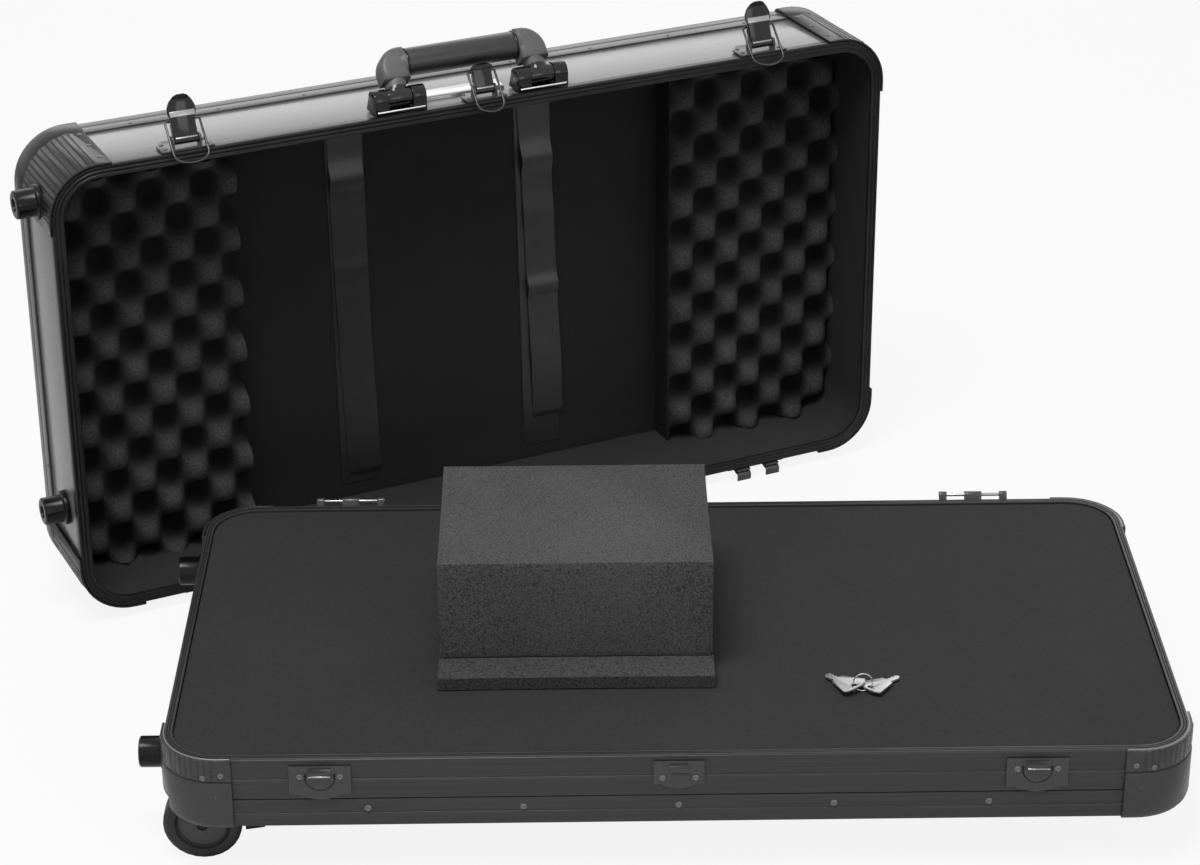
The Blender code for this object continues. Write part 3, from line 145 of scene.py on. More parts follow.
def copy_of(piece, name):
    """A copy with a mesh of its own."""
    twin = piece.copy()
    twin.data = piece.data.copy()
    twin.name = name
    bpy.context.scene.collection.objects.link(twin)
    return twin


print("settle and copy_of are ready")

# %% [markdown]
# A CAD node's mesh is flat triangles, and it has to stay as it is. Modifiers may still work on
# what is shown: Weld joins the triangles, Bevel breaks the sharp edges by a quarter of a
# millimetre, so that they catch the light as real edges do, and a small geometry-node group
# shades the result smoothly except across edges of more than 38 degrees.

# %% Soft edges on the CAD nodes
soft_shading = bpy.data.node_groups.new("soft shading", "GeometryNodeTree")
for way in ("INPUT", "OUTPUT"):
    soft_shading.interface.new_socket("Geometry", in_out=way, socket_type="NodeSocketGeometry")
made = {kind: soft_shading.nodes.new(kind) for kind in (
    "NodeGroupInput", "GeometryNodeRemoveAttribute", "GeometryNodeSetShadeSmooth",
    "GeometryNodeInputMeshEdgeAngle", "FunctionNodeCompare", "NodeGroupOutput")}
made["GeometryNodeRemoveAttribute"].inputs["Name"].default_value = "custom_normal"
crease = soft_shading.nodes.new("GeometryNodeSetShadeSmooth")
crease.domain = "EDGE"
crease.inputs["Shade Smooth"].default_value = False
made["FunctionNodeCompare"].operation = "GREATER_THAN"
made["FunctionNodeCompare"].inputs[1].default_value = math.radians(38)
chain = [made["NodeGroupInput"], made["GeometryNodeRemoveAttribute"],
         made["GeometryNodeSetShadeSmooth"], crease, made["NodeGroupOutput"]]
for first, second in zip(chain, chain[1:]):
    soft_shading.links.new(first.outputs[0], second.inputs[0])
angle = made["GeometryNodeInputMeshEdgeAngle"].outputs["Unsigned Angle"]
soft_shading.links.new(angle, made["FunctionNodeCompare"].inputs[0])
soft_shading.links.new(made["FunctionNodeCompare"].outputs[0], crease.inputs["Selection"])
for node in nodes.values():
    weld = node.modifiers.new("weld", "WELD")
    weld.merge_threshold = 0.00001
    edge = node.modifiers.new("soft edges", "BEVEL")
    edge.width, edge.segments = 0.00025, 2
    edge.limit_method, edge.angle_limit = "ANGLE", math.radians(45)
    node.modifiers.new("soft shading", "NODES").node_group = soft_shading
print("soft edges on", len(nodes), "nodes")

# %% [markdown]
# The camera stands where the photographer stood: about 2.5 m in front, 1.4 m up, with a long
# lens. Its axes were found by fitting the corners of both halves to the picture. A camera looks
# along its own -Z, so the third column is the way back from the object.

# %% The camera
RIGHT = Vector((0.9999033, -0.0128871, -0.0052271))
FORWARD = Vector((0.0092557, 0.8972161, -0.4414947))
UP = Vector((0.0103794, 0.4414037, 0.8972486))
clear_selection()
bpy.ops.object.camera_add(location=(-0.0025308, -2.4752995, 1.3963902))
camera = bpy.context.object
camera.name = "photo_camera"
camera.rotation_euler = Matrix((RIGHT, UP, -FORWARD)).transposed().to_euler()
camera.data.sensor_width = 36.0
camera.data.lens = 94.843
camera.data.shift_y = 0.0011
camera.data.clip_start, camera.data.clip_end = 0.1, 50
bpy.context.scene.camera = camera
print("camera looks down", round(math.degrees(math.asin(-FORWARD.z)), 1), "degrees")

# %% [markdown]
# Materials are node trees, and most of a pattern is arithmetic. A `Wire` is one output of a node.
# It can be added, multiplied and masked like a number, and each such sum adds one Math node.

# %% Wires
class Wire:
    """An output in a node tree that can be used in sums like a number."""

    def __init__(self, tree, socket):
        self.tree, self.socket = tree, socket

    def maths(self, operation, *others):
        """One sum with this wire as its first value."""
        return sum_of(self.tree, operation, self, *others)

    def __add__(self, other):
        return self.maths("ADD", other)

    def __sub__(self, other):
        return self.maths("SUBTRACT", other)

    def __rsub__(self, other):
        return sum_of(self.tree, "SUBTRACT", other, self)

    def __mul__(self, other):
        return self.maths("MULTIPLY", other)

    def __abs__(self):
        return self.maths("ABSOLUTE")

    def clamped(self):
        """The same sum, held between 0 and 1."""
        self.socket.node.use_clamp = True
        return self


def feed(tree, socket, value):
    """Links an output to a socket, or sets the socket's own value."""
    if isinstance(value, Wire):
        value = value.socket
    if isinstance(value, bpy.types.NodeSocket):
        tree.links.new(value, socket)
    else:
        socket.default_value = value


def put(tree, kind, inputs=(), **settings):
    """A node with its settings and its inputs filled."""
    node = tree.nodes.new(kind)
    for name, value in settings.items():
        setattr(node, name, value)
    for name, value in dict(inputs).items():
        feed(tree, node.inputs[name], value)
    return node


def in_order(tree, node, *values):
    """Fills a node's first inputs in their order and gives its first output."""
    for socket, value in zip(node.inputs, values):
        feed(tree, socket, value)
    return Wire(tree, node.outputs[0])


def sum_of(tree, operation, *values):
    """One sum of one to three values."""
    return in_order(tree, put(tree, "ShaderNodeMath", operation=operation), *values)


print("wires can be added, multiplied and subtracted")

# %% [markdown]
# A few patterns come up in every finish: a soft step, a thin line at some value, the strongest of
# several masks, a mix of two colours, noise, and a point measured from another place.

# %% Helpers for patterns
def step_up(value, low, high):
    """A mask that goes softly from 0 at low to 1 at high."""
    node = put(value.tree, "ShaderNodeMapRange", {"Value": value, "From Min": low, "From Max": high},
               interpolation_type="SMOOTHSTEP")
    return Wire(value.tree, node.outputs[0])


def line_at(value, middle, thin, wide):
    """A mask that is 1 within thin of the middle and fades to 0 at wide."""
    return 1.0 - step_up(abs(value - middle), thin, wide)


def strongest(masks):
    """The largest of several masks."""
    most, *rest = masks
    for mask in rest:
        most = most.maths("MAXIMUM", mask)
    return most


def blend(share, first, second):
    """The first colour where share is 0 and the second where it is 1."""
    node = put(share.tree, "ShaderNodeMix", data_type="RGBA")
    for number, value in ((0, share), (6, first), (7, second)):
        feed(share.tree, node.inputs[number], value)
    return Wire(share.tree, node.outputs[2])


def mix_shaders(tree, share, first, second):
    """The first shader where share is 0 and the second where it is 1."""
    return in_order(tree, put(tree, "ShaderNodeMixShader"), share, first.outputs[0], second.outputs[0])


def times(vector, by):
    """A vector or a colour times a number, or axis by axis times another vector."""
    return in_order(vector.tree, put(vector.tree, "ShaderNodeVectorMath", operation="MULTIPLY"), vector, by)


def noise_at(vector, scale, detail, roughness=0.5):
    """Noise from 0 to 1."""
    inputs = {"Vector": vector, "Scale": scale, "Detail": detail, "Roughness": roughness}
    return Wire(vector.tree, put(vector.tree, "ShaderNodeTexNoise", inputs).outputs[0])


def axes_of(vector):
    """The three parts of a vector."""
    node = put(vector.tree, "ShaderNodeSeparateXYZ", {"Vector": vector})
    return [Wire(vector.tree, part) for part in node.outputs]


def seen_from(vector, place):
    """The same point measured from another place, such as the lid's own corner."""
    inputs = {"Vector": vector, "Location": place.translation, "Rotation": Vector(place.to_euler())}
    return Wire(vector.tree, put(vector.tree, "ShaderNodeMapping", inputs, vector_type="TEXTURE").outputs[0])


def grey(level):
    """A grey of this level."""
    return (level, level, level, 1.0)


print("a middle grey is written", grey(0.2))

# %% [markdown]
# An effect that several finishes share is built once as a node group with named inputs and
# outputs. `new_effect` opens such a group and hands back its inside. `use` places it in a material.

# %% Helpers for shared effects
def new_effect(name, inputs, outputs):
    """A shader node group; each input has a number or a colour as its default, or None for a vector."""
    group = bpy.data.node_groups.new(name, "ShaderNodeTree")
    kinds = {float: "NodeSocketFloat", tuple: "NodeSocketColor", type(None): "NodeSocketVector"}
    for label, default in {"Vector": None, **inputs}.items():
        socket = group.interface.new_socket(label, in_out="INPUT", socket_type=kinds[type(default)])
        if default is not None:
            socket.default_value = default
    for label in outputs:
        kind = kinds[tuple if label == "Color" else float]
        group.interface.new_socket(label, in_out="OUTPUT", socket_type=kind)
    given = {socket.name: Wire(group, socket) for socket in group.nodes.new("NodeGroupInput").outputs}
    return group, given, group.nodes.new("NodeGroupOutput").inputs


def give(group, gives, **values):
    """Feeds the outputs of a shared effect."""
    for label, value in values.items():
        feed(group, gives[label], value)
    print(group.name, "has", len(group.nodes), "nodes")


def use(group, vector, **inputs):
    """Places a shared effect at a vector with a material's own values."""
    node = put(vector.tree, "ShaderNodeGroup", node_tree=group)
    for label, value in {"Vector": vector, **inputs}.items():
        feed(vector.tree, node.inputs[label.replace("_", " ")], value)
    return {socket.name: Wire(vector.tree, socket) for socket in node.outputs}


print("shared effects so far:", len(bpy.data.node_groups) - 1)

# %% [markdown]
# Foam: cut polyether foam is a mass of tiny bubbles. Close up it is a speckle of light cell
# walls and dark pores, and from afar it is a little cloudy. Noise gives the walls, Voronoi the
# pores, and a slow noise the clouds. The same numbers drive colour and height.

# %% Shared effect: foam cells
foam_cells, given, gives = new_effect("foam cells", {
    "Wall Colour": grey(0.1), "Pore Colour": grey(0.03), "Cells": 700.0, "Clouds": 12.0,
    "Contrast": 1.0}, ("Color", "Height"))
walls = noise_at(given["Vector"], given["Cells"], 2.0, 0.7)
pore_inputs = {"Vector": given["Vector"], "Scale": given["Cells"] * 0.55}
pores = Wire(foam_cells, put(foam_cells, "ShaderNodeTexVoronoi", pore_inputs, feature="F1").outputs["Distance"])
clouds = noise_at(given["Vector"], given["Clouds"], 3.0)
speckle = (walls * 1.5 - 0.75 + (pores * -0.7 + 0.3)) * given["Contrast"]
share = (speckle + (clouds * 0.7 - 0.35) + 0.55).clamped()
give(foam_cells, gives, Color=blend(share, given["Pore Colour"], given["Wall Colour"]), Height=share)

# %% [markdown]
# Drawn aluminium, anodised black, keeps fine lines along the way it was drawn. The lines lie
# along a wall, so the pattern is stretched: fine across, long along. `Stretch` says how fine
# each axis is, so one effect serves the tray (fine in Z) and the lid (fine in Y).

# %% Shared effect: drawn lines
drawn_lines, given, gives = new_effect("drawn lines", {
    "Stretch": None, "Base Color": grey(0.03), "Line Share": 0.35, "Roughness": 0.35},
    ("Color", "Roughness", "Height"))
lines = noise_at(times(given["Vector"], given["Stretch"]), 1.0, 3.0, 0.65)
smears = noise_at(given["Vector"], 9.0, 3.0, 0.6)
swing = lines * 2.0 - 1.0
give(drawn_lines, gives, Color=times(given["Base Color"], swing * given["Line Share"] + 1.0),
     Roughness=swing * 0.10 + (smears * 0.24 - 0.12) + given["Roughness"], Height=lines)

# %% [markdown]
# Mouldings and enamel have a slight orange-peel grain, small colour changes, and a dull film
# of handling that makes the gloss uneven.

# %% Shared effect: moulded skin
moulded_skin, given, gives = new_effect("moulded skin", {
    "Base Color": grey(0.03), "Grain": 500.0, "Roughness": 0.4, "Film": 0.15},
    ("Color", "Roughness", "Height"))
grain = noise_at(given["Vector"], given["Grain"], 2.0)
spread = noise_at(given["Vector"], 22.0, 4.0, 0.65) * 2.0 - 1.0
give(moulded_skin, gives, Color=times(given["Base Color"], spread * 0.22 + (grain * 0.24 + 0.88)),
     Roughness=spread * given["Film"] + given["Roughness"], Height=grain)

# %% [markdown]
# Woven cloth: two sets of ribs cross. The warp runs one way, the weft the other, and each hides
# the other in turn. Two sine waves multiplied give that checker of small humps, cheaply.

# %% Shared effect: weave
weave, given, gives = new_effect("weave", {
    "Thread Colour": grey(0.03), "Gap Colour": grey(0.004), "Threads": 1200.0, "Fuzz": 0.5},
    ("Color", "Height"))
turn_by = given["Threads"] * math.pi
warp, weft = [(axis * turn_by).maths("SINE") for axis in axes_of(given["Vector"])[:2]]
hump = warp * weft * 0.5 + 0.5
lint = noise_at(given["Vector"], 60.0, 5.0, 0.7) - 0.5
share = (hump * 0.6 + 0.25 + lint * given["Fuzz"]).clamped()
give(weave, gives, Color=blend(share, given["Gap Colour"], given["Thread Colour"]), Height=hump)

# %% [markdown]
# The lid's boards show two finishes: laminate outside, black lining inside. Which side a point
# is on follows from its distance to the lid's rounded outline. This helper measures that inset,
# in metres, with the usual distance of a point to a rounded rectangle.
#
# `new_finish` starts a material with the even numbers of its Principled shader and the piece's
# Object coordinates. `surface` feeds the shader with patterns and turns a height into a normal.

# %% Helpers for finishes
def inset_at(across, along):
    """How far a point lies inside the rounded outline of the case."""
    over_x, over_y = abs(across) - (HALF - CORNER), abs(along) - (DEPTH / 2 - CORNER)
    past_x, past_y = over_x.maths("MAXIMUM", 0.0), over_y.maths("MAXIMUM", 0.0)
    reach = (past_x * past_x + past_y * past_y).maths("SQRT")
    return CORNER - (reach + over_x.maths("MAXIMUM", over_y).maths("MINIMUM", 0.0))


def new_finish(name, **even):
    """A material with its even numbers, and the coordinates that its patterns read."""
    finish = bpy.data.materials.new(name)
    finish.use_nodes = True
    tree = finish.node_tree
    for label, value in even.items():
        tree.nodes["Principled BSDF"].inputs[label.replace("_", " ")].default_value = value
    return finish, Wire(tree, put(tree, "ShaderNodeTexCoord").outputs["Object"])


def surface(finish, height, strength, distance, **patterns):
    """Feeds the shader with patterns, and its normal with a height."""
    tree = finish.node_tree
    sockets = tree.nodes["Principled BSDF"].inputs
    for label, value in patterns.items():
        feed(tree, sockets[label.replace("_", " ")], value)
    bump = put(tree, "ShaderNodeBump", {"Height": height, "Strength": strength, "Distance": distance})
    feed(tree, sockets["Normal"], bump.outputs[0])
    return finish


def dress(finish, *names):
    """Gives CAD nodes a finish through their material slots."""
    for name in names:
        for place in nodes[name].material_slots:
            place.material = finish
    print(finish.name, "on", len(names), "nodes")


def named(test):
    """The names of the CAD nodes that pass a test."""
    return [name for name in nodes if test(name)]


print("shared effects:", [group.name for group in bpy.data.node_groups])

# %% [markdown]
# The long profiles are black anodised aluminium with a satin gloss. They look nearly black from
# the front and pale grey from above, where they mirror the bright room, so the base stays dark
# and the gloss does the rest. Thin paler lines mark the edges where the black has worn, the two
# groove lines round the rim get painted shade, nearly black, and a dark seam parts its two sections.

# %% Finish: anodised profiles of the tray
tray_profile, place = new_finish("tray_profile_anodised", IOR=1.5, Specular_IOR_Level=0.32)
level = seen_from(place, TRAY)
across, along, height = axes_of(level)
lines = use(drawn_lines, level, Stretch=(4.0, 4.0, 900.0), Base_Color=grey(0.044), Line_Share=0.5, Roughness=0.33)
worn = strongest([line_at(height, edge, 0.0003, 0.0010) for edge in (-0.0346, -0.0598, -0.0188)])
worn = worn * step_up(noise_at(level, 35.0, 4.0), 0.40, 0.62)
inset = inset_at(across, along)
# painted shade: the two groove lines round the rim are painted nearly black; the seam is a dark joint
rim_groove_shade = strongest([line_at(inset, middle, 0.0004, 0.0008) for middle in (0.0028, 0.0048)])
seam = line_at(height, -0.0351, 0.0003, 0.0008)
dark = strongest([rim_groove_shade * step_up(height, 0.0002, 0.0005), seam])
metal = blend(worn * 0.20, lines["Color"], grey(0.12))
surface(tray_profile, dark * -3.0 + lines["Height"], 0.12, 0.0003,
        Base_Color=blend(dark, metal, grey(0.004)), Roughness=dark * 0.5 + lines["Roughness"])
dress(tray_profile, "tray_rim_frame", "tray_edge_frame")

# %% [markdown]
# The lid's profiles are the same metal, drawn round the rim, so the fine direction is the lid's
# own depth. Its back edge catches most of the light from above, and that light is painted into it
# as a much paler base: painted light.

# %% Finish: anodised profiles of the lid
def lid_metal(name, base, **even):
    """The drawn metal of the lid, seen from the lid's own corner."""
    finish, place = new_finish(name, **even)
    level = seen_from(place, LID)
    inward = axes_of(level)[1]
    lines = use(drawn_lines, level, Stretch=(4.0, 900.0, 4.0), Base_Color=grey(base),
                Line_Share=0.5, Roughness=0.28)
    worn = strongest([line_at(inward, edge, 0.0003, 0.0009) for edge in (0.0004, 0.0075, 0.0822, 0.1066)])
    worn = worn * step_up(noise_at(level, 30.0, 4.0), 0.40, 0.62)
    return surface(finish, lines["Height"], 0.12, 0.0003, Roughness=lines["Roughness"],
                   Base_Color=blend(worn * 0.3, lines["Color"], grey(base * 3)))


lid_profile = lid_metal("lid_rim_anodised", 0.010, IOR=1.5, Specular_IOR_Level=0.22)
dress(lid_profile, "lid_rim_frame")
# painted light: the back edge is the same metal with a paler base, for the light from above
dress(lid_metal("lid_back_edge_painted_light", 0.055, IOR=1.6), "lid_edge_frame")

# %% [markdown]
# The boards are thin ply with a smooth grey laminate outside. Inside, the lid is lined with
# black felt. The inset splits the two on the wall board, and the depth splits them on the back.
# The felt also gets a weaker gloss through the coat's weight, and painted light makes it paler
# low down, on the lid's floor.

# %% Finish: laminate outside, felt inside
def board_finish(name, felt_mask):
    """A board with laminate where the mask is 0 and felt where it is 1."""
    finish, place = new_finish(name, IOR=1.45, Coat_Roughness=0.15)
    level = seen_from(place, LID)
    across, inward, up = axes_of(level)
    felt = felt_mask(across, inward, up)
    skin = use(moulded_skin, level, Base_Color=grey(0.15), Grain=900.0, Roughness=0.30, Film=0.10)
    # painted light: the felt is paler on the lid's floor and darker from 60 mm up
    felt_colour_with_painted_light = blend(1.0 - step_up(up, 0.004, 0.060), grey(0.016), grey(0.040))
    cloth = use(foam_cells, level, Wall_Colour=felt_colour_with_painted_light, Pore_Colour=grey(0.004),
                Cells=1500.0, Clouds=5.0, Contrast=0.8)
    return surface(finish, cloth["Height"], 0.10, 0.0003, Base_Color=blend(felt, skin["Color"], cloth["Color"]),
                   Roughness=felt * 0.65 + skin["Roughness"], Coat_Weight=felt * -0.5 + 0.5)


def inside_wall(across, inward, up):
    """1 on the inner side of the wall board."""
    return step_up(inset_at(across, up - DEPTH / 2), 0.0040, 0.0046)


def inside_back(across, inward, up):
    """1 on the inner side of the back panel."""
    return 1.0 - step_up(inward, 0.1022, 0.1030)


dress(board_finish("wall_laminate_and_felt", inside_wall), "lid_wall_board")
dress(board_finish("back_laminate_and_felt", inside_back), "lid_back_panel")

# %% [markdown]
# Enamelled steel and mouldings share one recipe with different numbers: a dark base, the
# moulded skin for grain and handling marks, and a gloss that fits the part. The corner caps add
# ribs round the corner, whose troughs get painted shade, nearly black, and the dark split
# between the cap's two halves.

# %% Finishes: enamel and mouldings
def skin_finish(name, level, roughness, film=0.12, grain=500.0, bump=0.08, distance=0.0003, **even):
    """A hard, slightly uneven surface in one grey."""
    finish, place = new_finish(name, **even)
    skin = use(moulded_skin, place, Base_Color=grey(level), Grain=grain, Roughness=roughness, Film=film)
    return surface(finish, skin["Height"], bump, distance, Base_Color=skin["Color"], Roughness=skin["Roughness"])


def cap_finish(name, base, place_of, along, through, middle, split, strength, specular):
    """Enamelled cap: ribs round its corner on the rim side of the split, with painted shade in their troughs, and
    a dark seam on it.
    """
    finish, place = new_finish(name, IOR=1.5, Specular_IOR_Level=specular)
    parts = axes_of(seen_from(place, place_of))
    over_x = abs(parts[0]) - (HALF - CORNER)
    over_y = abs(parts[along] - middle) - (DEPTH / 2 - CORNER)
    angle = over_y.maths("MAXIMUM", 0.0).maths("ARCTAN2", over_x.maths("MAXIMUM", 0.00001))
    # painted shade: the troughs between the ribs are painted nearly black; the seam line is a dark joint
    ribs = step_up((angle * 56.0).maths("SINE"), 0.1, 0.8)
    depth = parts[through] * math.copysign(1.0, split)
    upper = 1.0 - step_up(depth, abs(split) - 0.0022, abs(split) - 0.0016)
    dark = strongest([ribs * (upper * strength), line_at(depth, abs(split), 0.0004, 0.0009)])
    skin = use(moulded_skin, place, Base_Color=grey(base), Grain=700.0, Roughness=0.27, Film=0.10)
    return surface(finish, dark * -6.0 + skin["Height"], 0.25, 0.0004,
                   Base_Color=blend(dark, skin["Color"], grey(0.003)), Roughness=dark * 0.4 + skin["Roughness"])


tray_caps = cap_finish("tray_cap_enamel", 0.040, TRAY, 1, 2, 0.0, -0.0185, 0.45, 0.45)
lid_caps = cap_finish("lid_cap_enamel", 0.012, LID, 2, 1, DEPTH / 2, 0.0805, 0.85, 0.35)
hard_steel = skin_finish("black_steel", 0.040, 0.28, IOR=1.5, Specular_IOR_Level=0.6)
gloss_black = skin_finish("gloss_black_moulding", 0.006, 0.09, 0.05, bump=0.03, IOR=1.5, Specular_IOR_Level=0.4)
satin_black = skin_finish("satin_black_moulding", 0.005, 0.22, IOR=1.5, Specular_IOR_Level=0.22)
rivet_steel = skin_finish("rivet_steel", 0.10, 0.28, 0.08, IOR=1.8)
dull_trim = skin_finish("dull_trim", 0.34, 0.32, 0.08, Metallic=1.0)
cap_roll = skin_finish("cap_rolled_edge", 0.24, 0.24, 0.06, Metallic=1.0)
bright_trim = skin_finish("bright_trim", 0.82, 0.16, 0.05, bump=0.03, Metallic=1.0)
# painted shade: near black, for the shade in the pressed groove of each catch plate
groove_shade_black = skin_finish("groove_shade_black", 0.006, 0.40, IOR=1.5, Specular_IOR_Level=0.2)
worn_edge = skin_finish("worn_steel_edge", 0.30, 0.25, 0.05, Metallic=0.9)
dress(tray_caps, *named(lambda name: name.startswith("tray_corner_")))
dress(lid_caps, *named(lambda name: name.startswith("lid_corner_")))
dress(hard_steel, *named(lambda name: name.startswith(("catch_", "tray_hinge", "lid_hinge"))
                         or name.startswith("latch") and name.endswith("_plate")))
dress(gloss_black, *named(lambda name: name.startswith("handle_bracket") or name.endswith("_lever")))
dress(satin_black, "front_wheel_bracket", "rear_wheel_bracket", "rest_stand", "pull_handle_channels",
      "pull_handle_button", *named(lambda name: "stub_foot" in name))
dress(skin_finish("black_zinc_wire", 0.075, 0.20, 0.08, Metallic=1.0), *named(lambda name: name.endswith("_bail")))
dress(skin_finish("zinc_wire", 0.42, 0.28, 0.08, Metallic=1.0), "hinge_pin_left", "hinge_pin_right")
dress(skin_finish("floor_board_laminate", 0.05, 0.40, grain=900.0), "tray_bottom_panel")
dress(skin_finish("handle_plate_silver", 0.72, 0.30, 0.10, grain=900.0, Metallic=1.0), "handle_plate")
dress(skin_finish("pull_tube_silver", 0.55, 0.25, 0.08, Metallic=1.0), "pull_handle_tubes")
dress(skin_finish("pull_grip_rubber", 0.016, 0.55, grain=900.0, bump=0.15), "pull_handle_grip")
dress(skin_finish("stamped_key_nickel", 0.50, 0.38, grain=1500.0, bump=0.15, distance=0.0002, Metallic=1.0),
      "key_left", "key_right", "key_ring")

# %% [markdown]
# The carrying handle is one moulding with three surfaces: a black rubber grip in the middle,
# paler swept ends, and glossy barrels at the pivots. Measured from the handle's own pivot, the
# place along it tells them apart.

# %% Finish: the handle
HANDLE_X = -0.012
HANDLE = LID @ Matrix.Translation((HANDLE_X, 0.014, 0.4318)) @ Matrix.Rotation(math.radians(47), 4, "X")
handle_finish, place = new_finish("handle_grip_and_ends", IOR=1.5)
sideways, forward = axes_of(seen_from(place, HANDLE))[:2]
ends = step_up(abs(sideways), 0.0515, 0.0523)
barrel = 1.0 - step_up(forward, 0.0080, 0.0092)
skin = use(moulded_skin, place, Base_Color=grey(0.026), Grain=1100.0, Roughness=0.33, Film=0.08)
swept = use(moulded_skin, place, Base_Color=grey(0.095), Grain=700.0)
colour = blend(ends, skin["Color"], swept["Color"])
surface(handle_finish, skin["Height"], 0.06, 0.0003, Base_Color=blend(barrel, colour, grey(0.006)),
        Roughness=(ends * 0.14 + skin["Roughness"]) * (barrel * -0.75 + 1.0))
dress(handle_finish, "handle_grip")

# %% [markdown]
# A wheel is a hard core with a rubber tyre. The distance from the axle, which runs along Y,
# parts the two. Rubber is dull with a fine mottling, the core smoother and a little paler.

# %% Finish: wheels
AXLE_X, AXLE_Z = -0.372, -0.073
wheel_finish, place = new_finish("wheel_tyre_and_hub", IOR=1.5)
axle = Matrix.Translation(TRAY @ Vector((AXLE_X, 0.0, AXLE_Z)))
across, along, height = axes_of(seen_from(place, axle))
tyre = step_up((across * across + height * height).maths("SQRT"), 0.0200, 0.0206)
rubber = use(moulded_skin, place, Base_Color=grey(0.014), Grain=800.0)
core = use(moulded_skin, place, Base_Color=grey(0.045), Grain=500.0, Roughness=0.38, Film=0.10)
surface(wheel_finish, rubber["Height"], 0.15, 0.0004, Base_Color=blend(tyre, core["Color"], rubber["Color"]),
        Roughness=tyre * 0.24 + core["Roughness"])
dress(wheel_finish, "front_wheel", "rear_wheel")

# %% [markdown]
# Four foams, four greys. The liner is dense closed foam, dark and nearly smooth. The block and
# slab are open foam with a plain speckle. The egg-crate pads are the same open foam, darker, and
# painted shade makes them darkest in their hollows. Foam scatters light softly, so its roughness
# is high and its specular low. The straps are satin webbing with its threads along and across the lid.

# %% Finishes: foams and webbing
def foam_finish(name, wall, pore, cells, clouds, contrast, bump):
    """Foam with its own cell size and greys."""
    finish, place = new_finish(name, Roughness=0.92, Specular_IOR_Level=0.25)
    foam = use(foam_cells, place, Wall_Colour=grey(wall), Pore_Colour=grey(pore), Cells=cells,
               Clouds=clouds, Contrast=contrast)
    return surface(finish, foam["Height"], bump, 0.0006, Base_Color=foam["Color"])


liner_foam = foam_finish("liner_foam", 0.040, 0.022, 650.0, 7.0, 0.6, 0.25)
block_foam = foam_finish("block_foam", 0.128, 0.032, 1050.0, 8.0, 1.35, 0.50)
slab_foam = foam_finish("slab_foam", 0.098, 0.022, 1050.0, 8.0, 1.35, 0.45)

crate_foam, place = new_finish("egg_crate_foam", Roughness=0.92, Specular_IOR_Level=0.25)
level = seen_from(place, LID)
# painted shade: the foam turns nearly black towards the bottom of its hollows, deeper in the lid
painted_hollow_shade = step_up(axes_of(level)[1], 0.0630, 0.0800)
foam = use(foam_cells, level, Wall_Colour=grey(0.085), Pore_Colour=grey(0.020), Cells=900.0,
           Clouds=12.0, Contrast=0.9)
surface(crate_foam, foam["Height"], 0.35, 0.0006, Base_Color=blend(painted_hollow_shade * 0.95, foam["Color"], grey(0.003)))

webbing, place = new_finish("satin_webbing", Roughness=0.33, Specular_IOR_Level=0.6,
                            Sheen_Weight=0.15, Sheen_Roughness=0.4)
across, inward, up = axes_of(seen_from(place, LID))
threads = put(webbing.node_tree, "ShaderNodeCombineXYZ", {"X": across, "Y": up, "Z": inward})
cloth = use(weave, Wire(webbing.node_tree, threads.outputs[0]), Thread_Colour=grey(0.030),
            Gap_Colour=grey(0.005), Threads=900.0, Fuzz=1.1)
surface(webbing, cloth["Height"], 0.35, 0.0004, Base_Color=cloth["Color"])
print("foams and webbing are ready:", len(bpy.data.materials), "materials")

# %% [markdown]
# The tray's liner is one dense foam sheet, cut to the rounded inside of the rim and pressed in
# level with it. A fine grid is drawn out to the rounded outline, its border is extruded down,
# and the upper edge is rounded. A slow noise sinks the top by up to 0.4 mm, as foam never lies
# dead flat. Corners of a grid become round when each is mapped from a square to a quarter disc.

# %% Tray liner
LINER_X, LINER_Y, LINER_CORNER, LINER_DEEP = 0.3927, 0.2027, 0.0377, 0.0296


def rounded(value_x, value_y, half_x, half_y, corner):
    """Moves a point of a rectangle into the same rectangle with round corners."""
    a = (abs(value_x) - (half_x - corner)) / corner
    b = (abs(value_y) - (half_y - corner)) / corner
    if a > 0 and b > 0:
        a, b = a * math.sqrt(1 - b * b / 2), b * math.sqrt(1 - a * a / 2)
        value_x = math.copysign(half_x - corner + a * corner, value_x)
        value_y = math.copysign(half_y - corner + b * corner, value_y)
    return value_x, value_y


liner = begin("tray_liner_foam", bpy.ops.mesh.primitive_grid_add, (LINER_X, LINER_Y, 1),
              x_subdivisions=96, y_subdivisions=50, size=2)
for corner in liner.data.vertices:
    corner.co.x, corner.co.y = rounded(corner.co.x, corner.co.y, LINER_X, LINER_Y, LINER_CORNER)
edit_all()
bpy.ops.mesh.region_to_loop()
bpy.ops.mesh.extrude_region_move(TRANSFORM_OT_translate={"value": (0, 0, -LINER_DEEP)})
bpy.ops.mesh.edge_face_add()
bpy.ops.mesh.select_all(action="SELECT")
bpy.ops.mesh.normals_make_consistent(inside=False)
bpy.ops.object.mode_set(mode="OBJECT")
soften = liner.modifiers.new("soft edge", "BEVEL")
soften.width, soften.segments, soften.angle_limit = 0.0022, 4, math.radians(50)
bpy.ops.object.modifier_apply(modifier=soften.name)
for corner in liner.data.vertices:
    if corner.co.z > -0.0030:
        slow = noise.noise(Vector((corner.co.x * 14, corner.co.y * 14, 0.3)))
        corner.co.z -= 0.0004 * (0.5 + 0.5 * slow)
settle(liner, "tray", liner_foam, TRAY, smooth=60)
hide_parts("tray_foam_liner")
print("liner is", round(2 * LINER_X, 3), "by", round(2 * LINER_Y, 3), "m")

# %% [markdown]
# The block and the thin slab are sawn from open foam. A cube with many cuts is given soft
# edges, and its sides are then drawn in a little between the corners, as sawn foam relaxes.

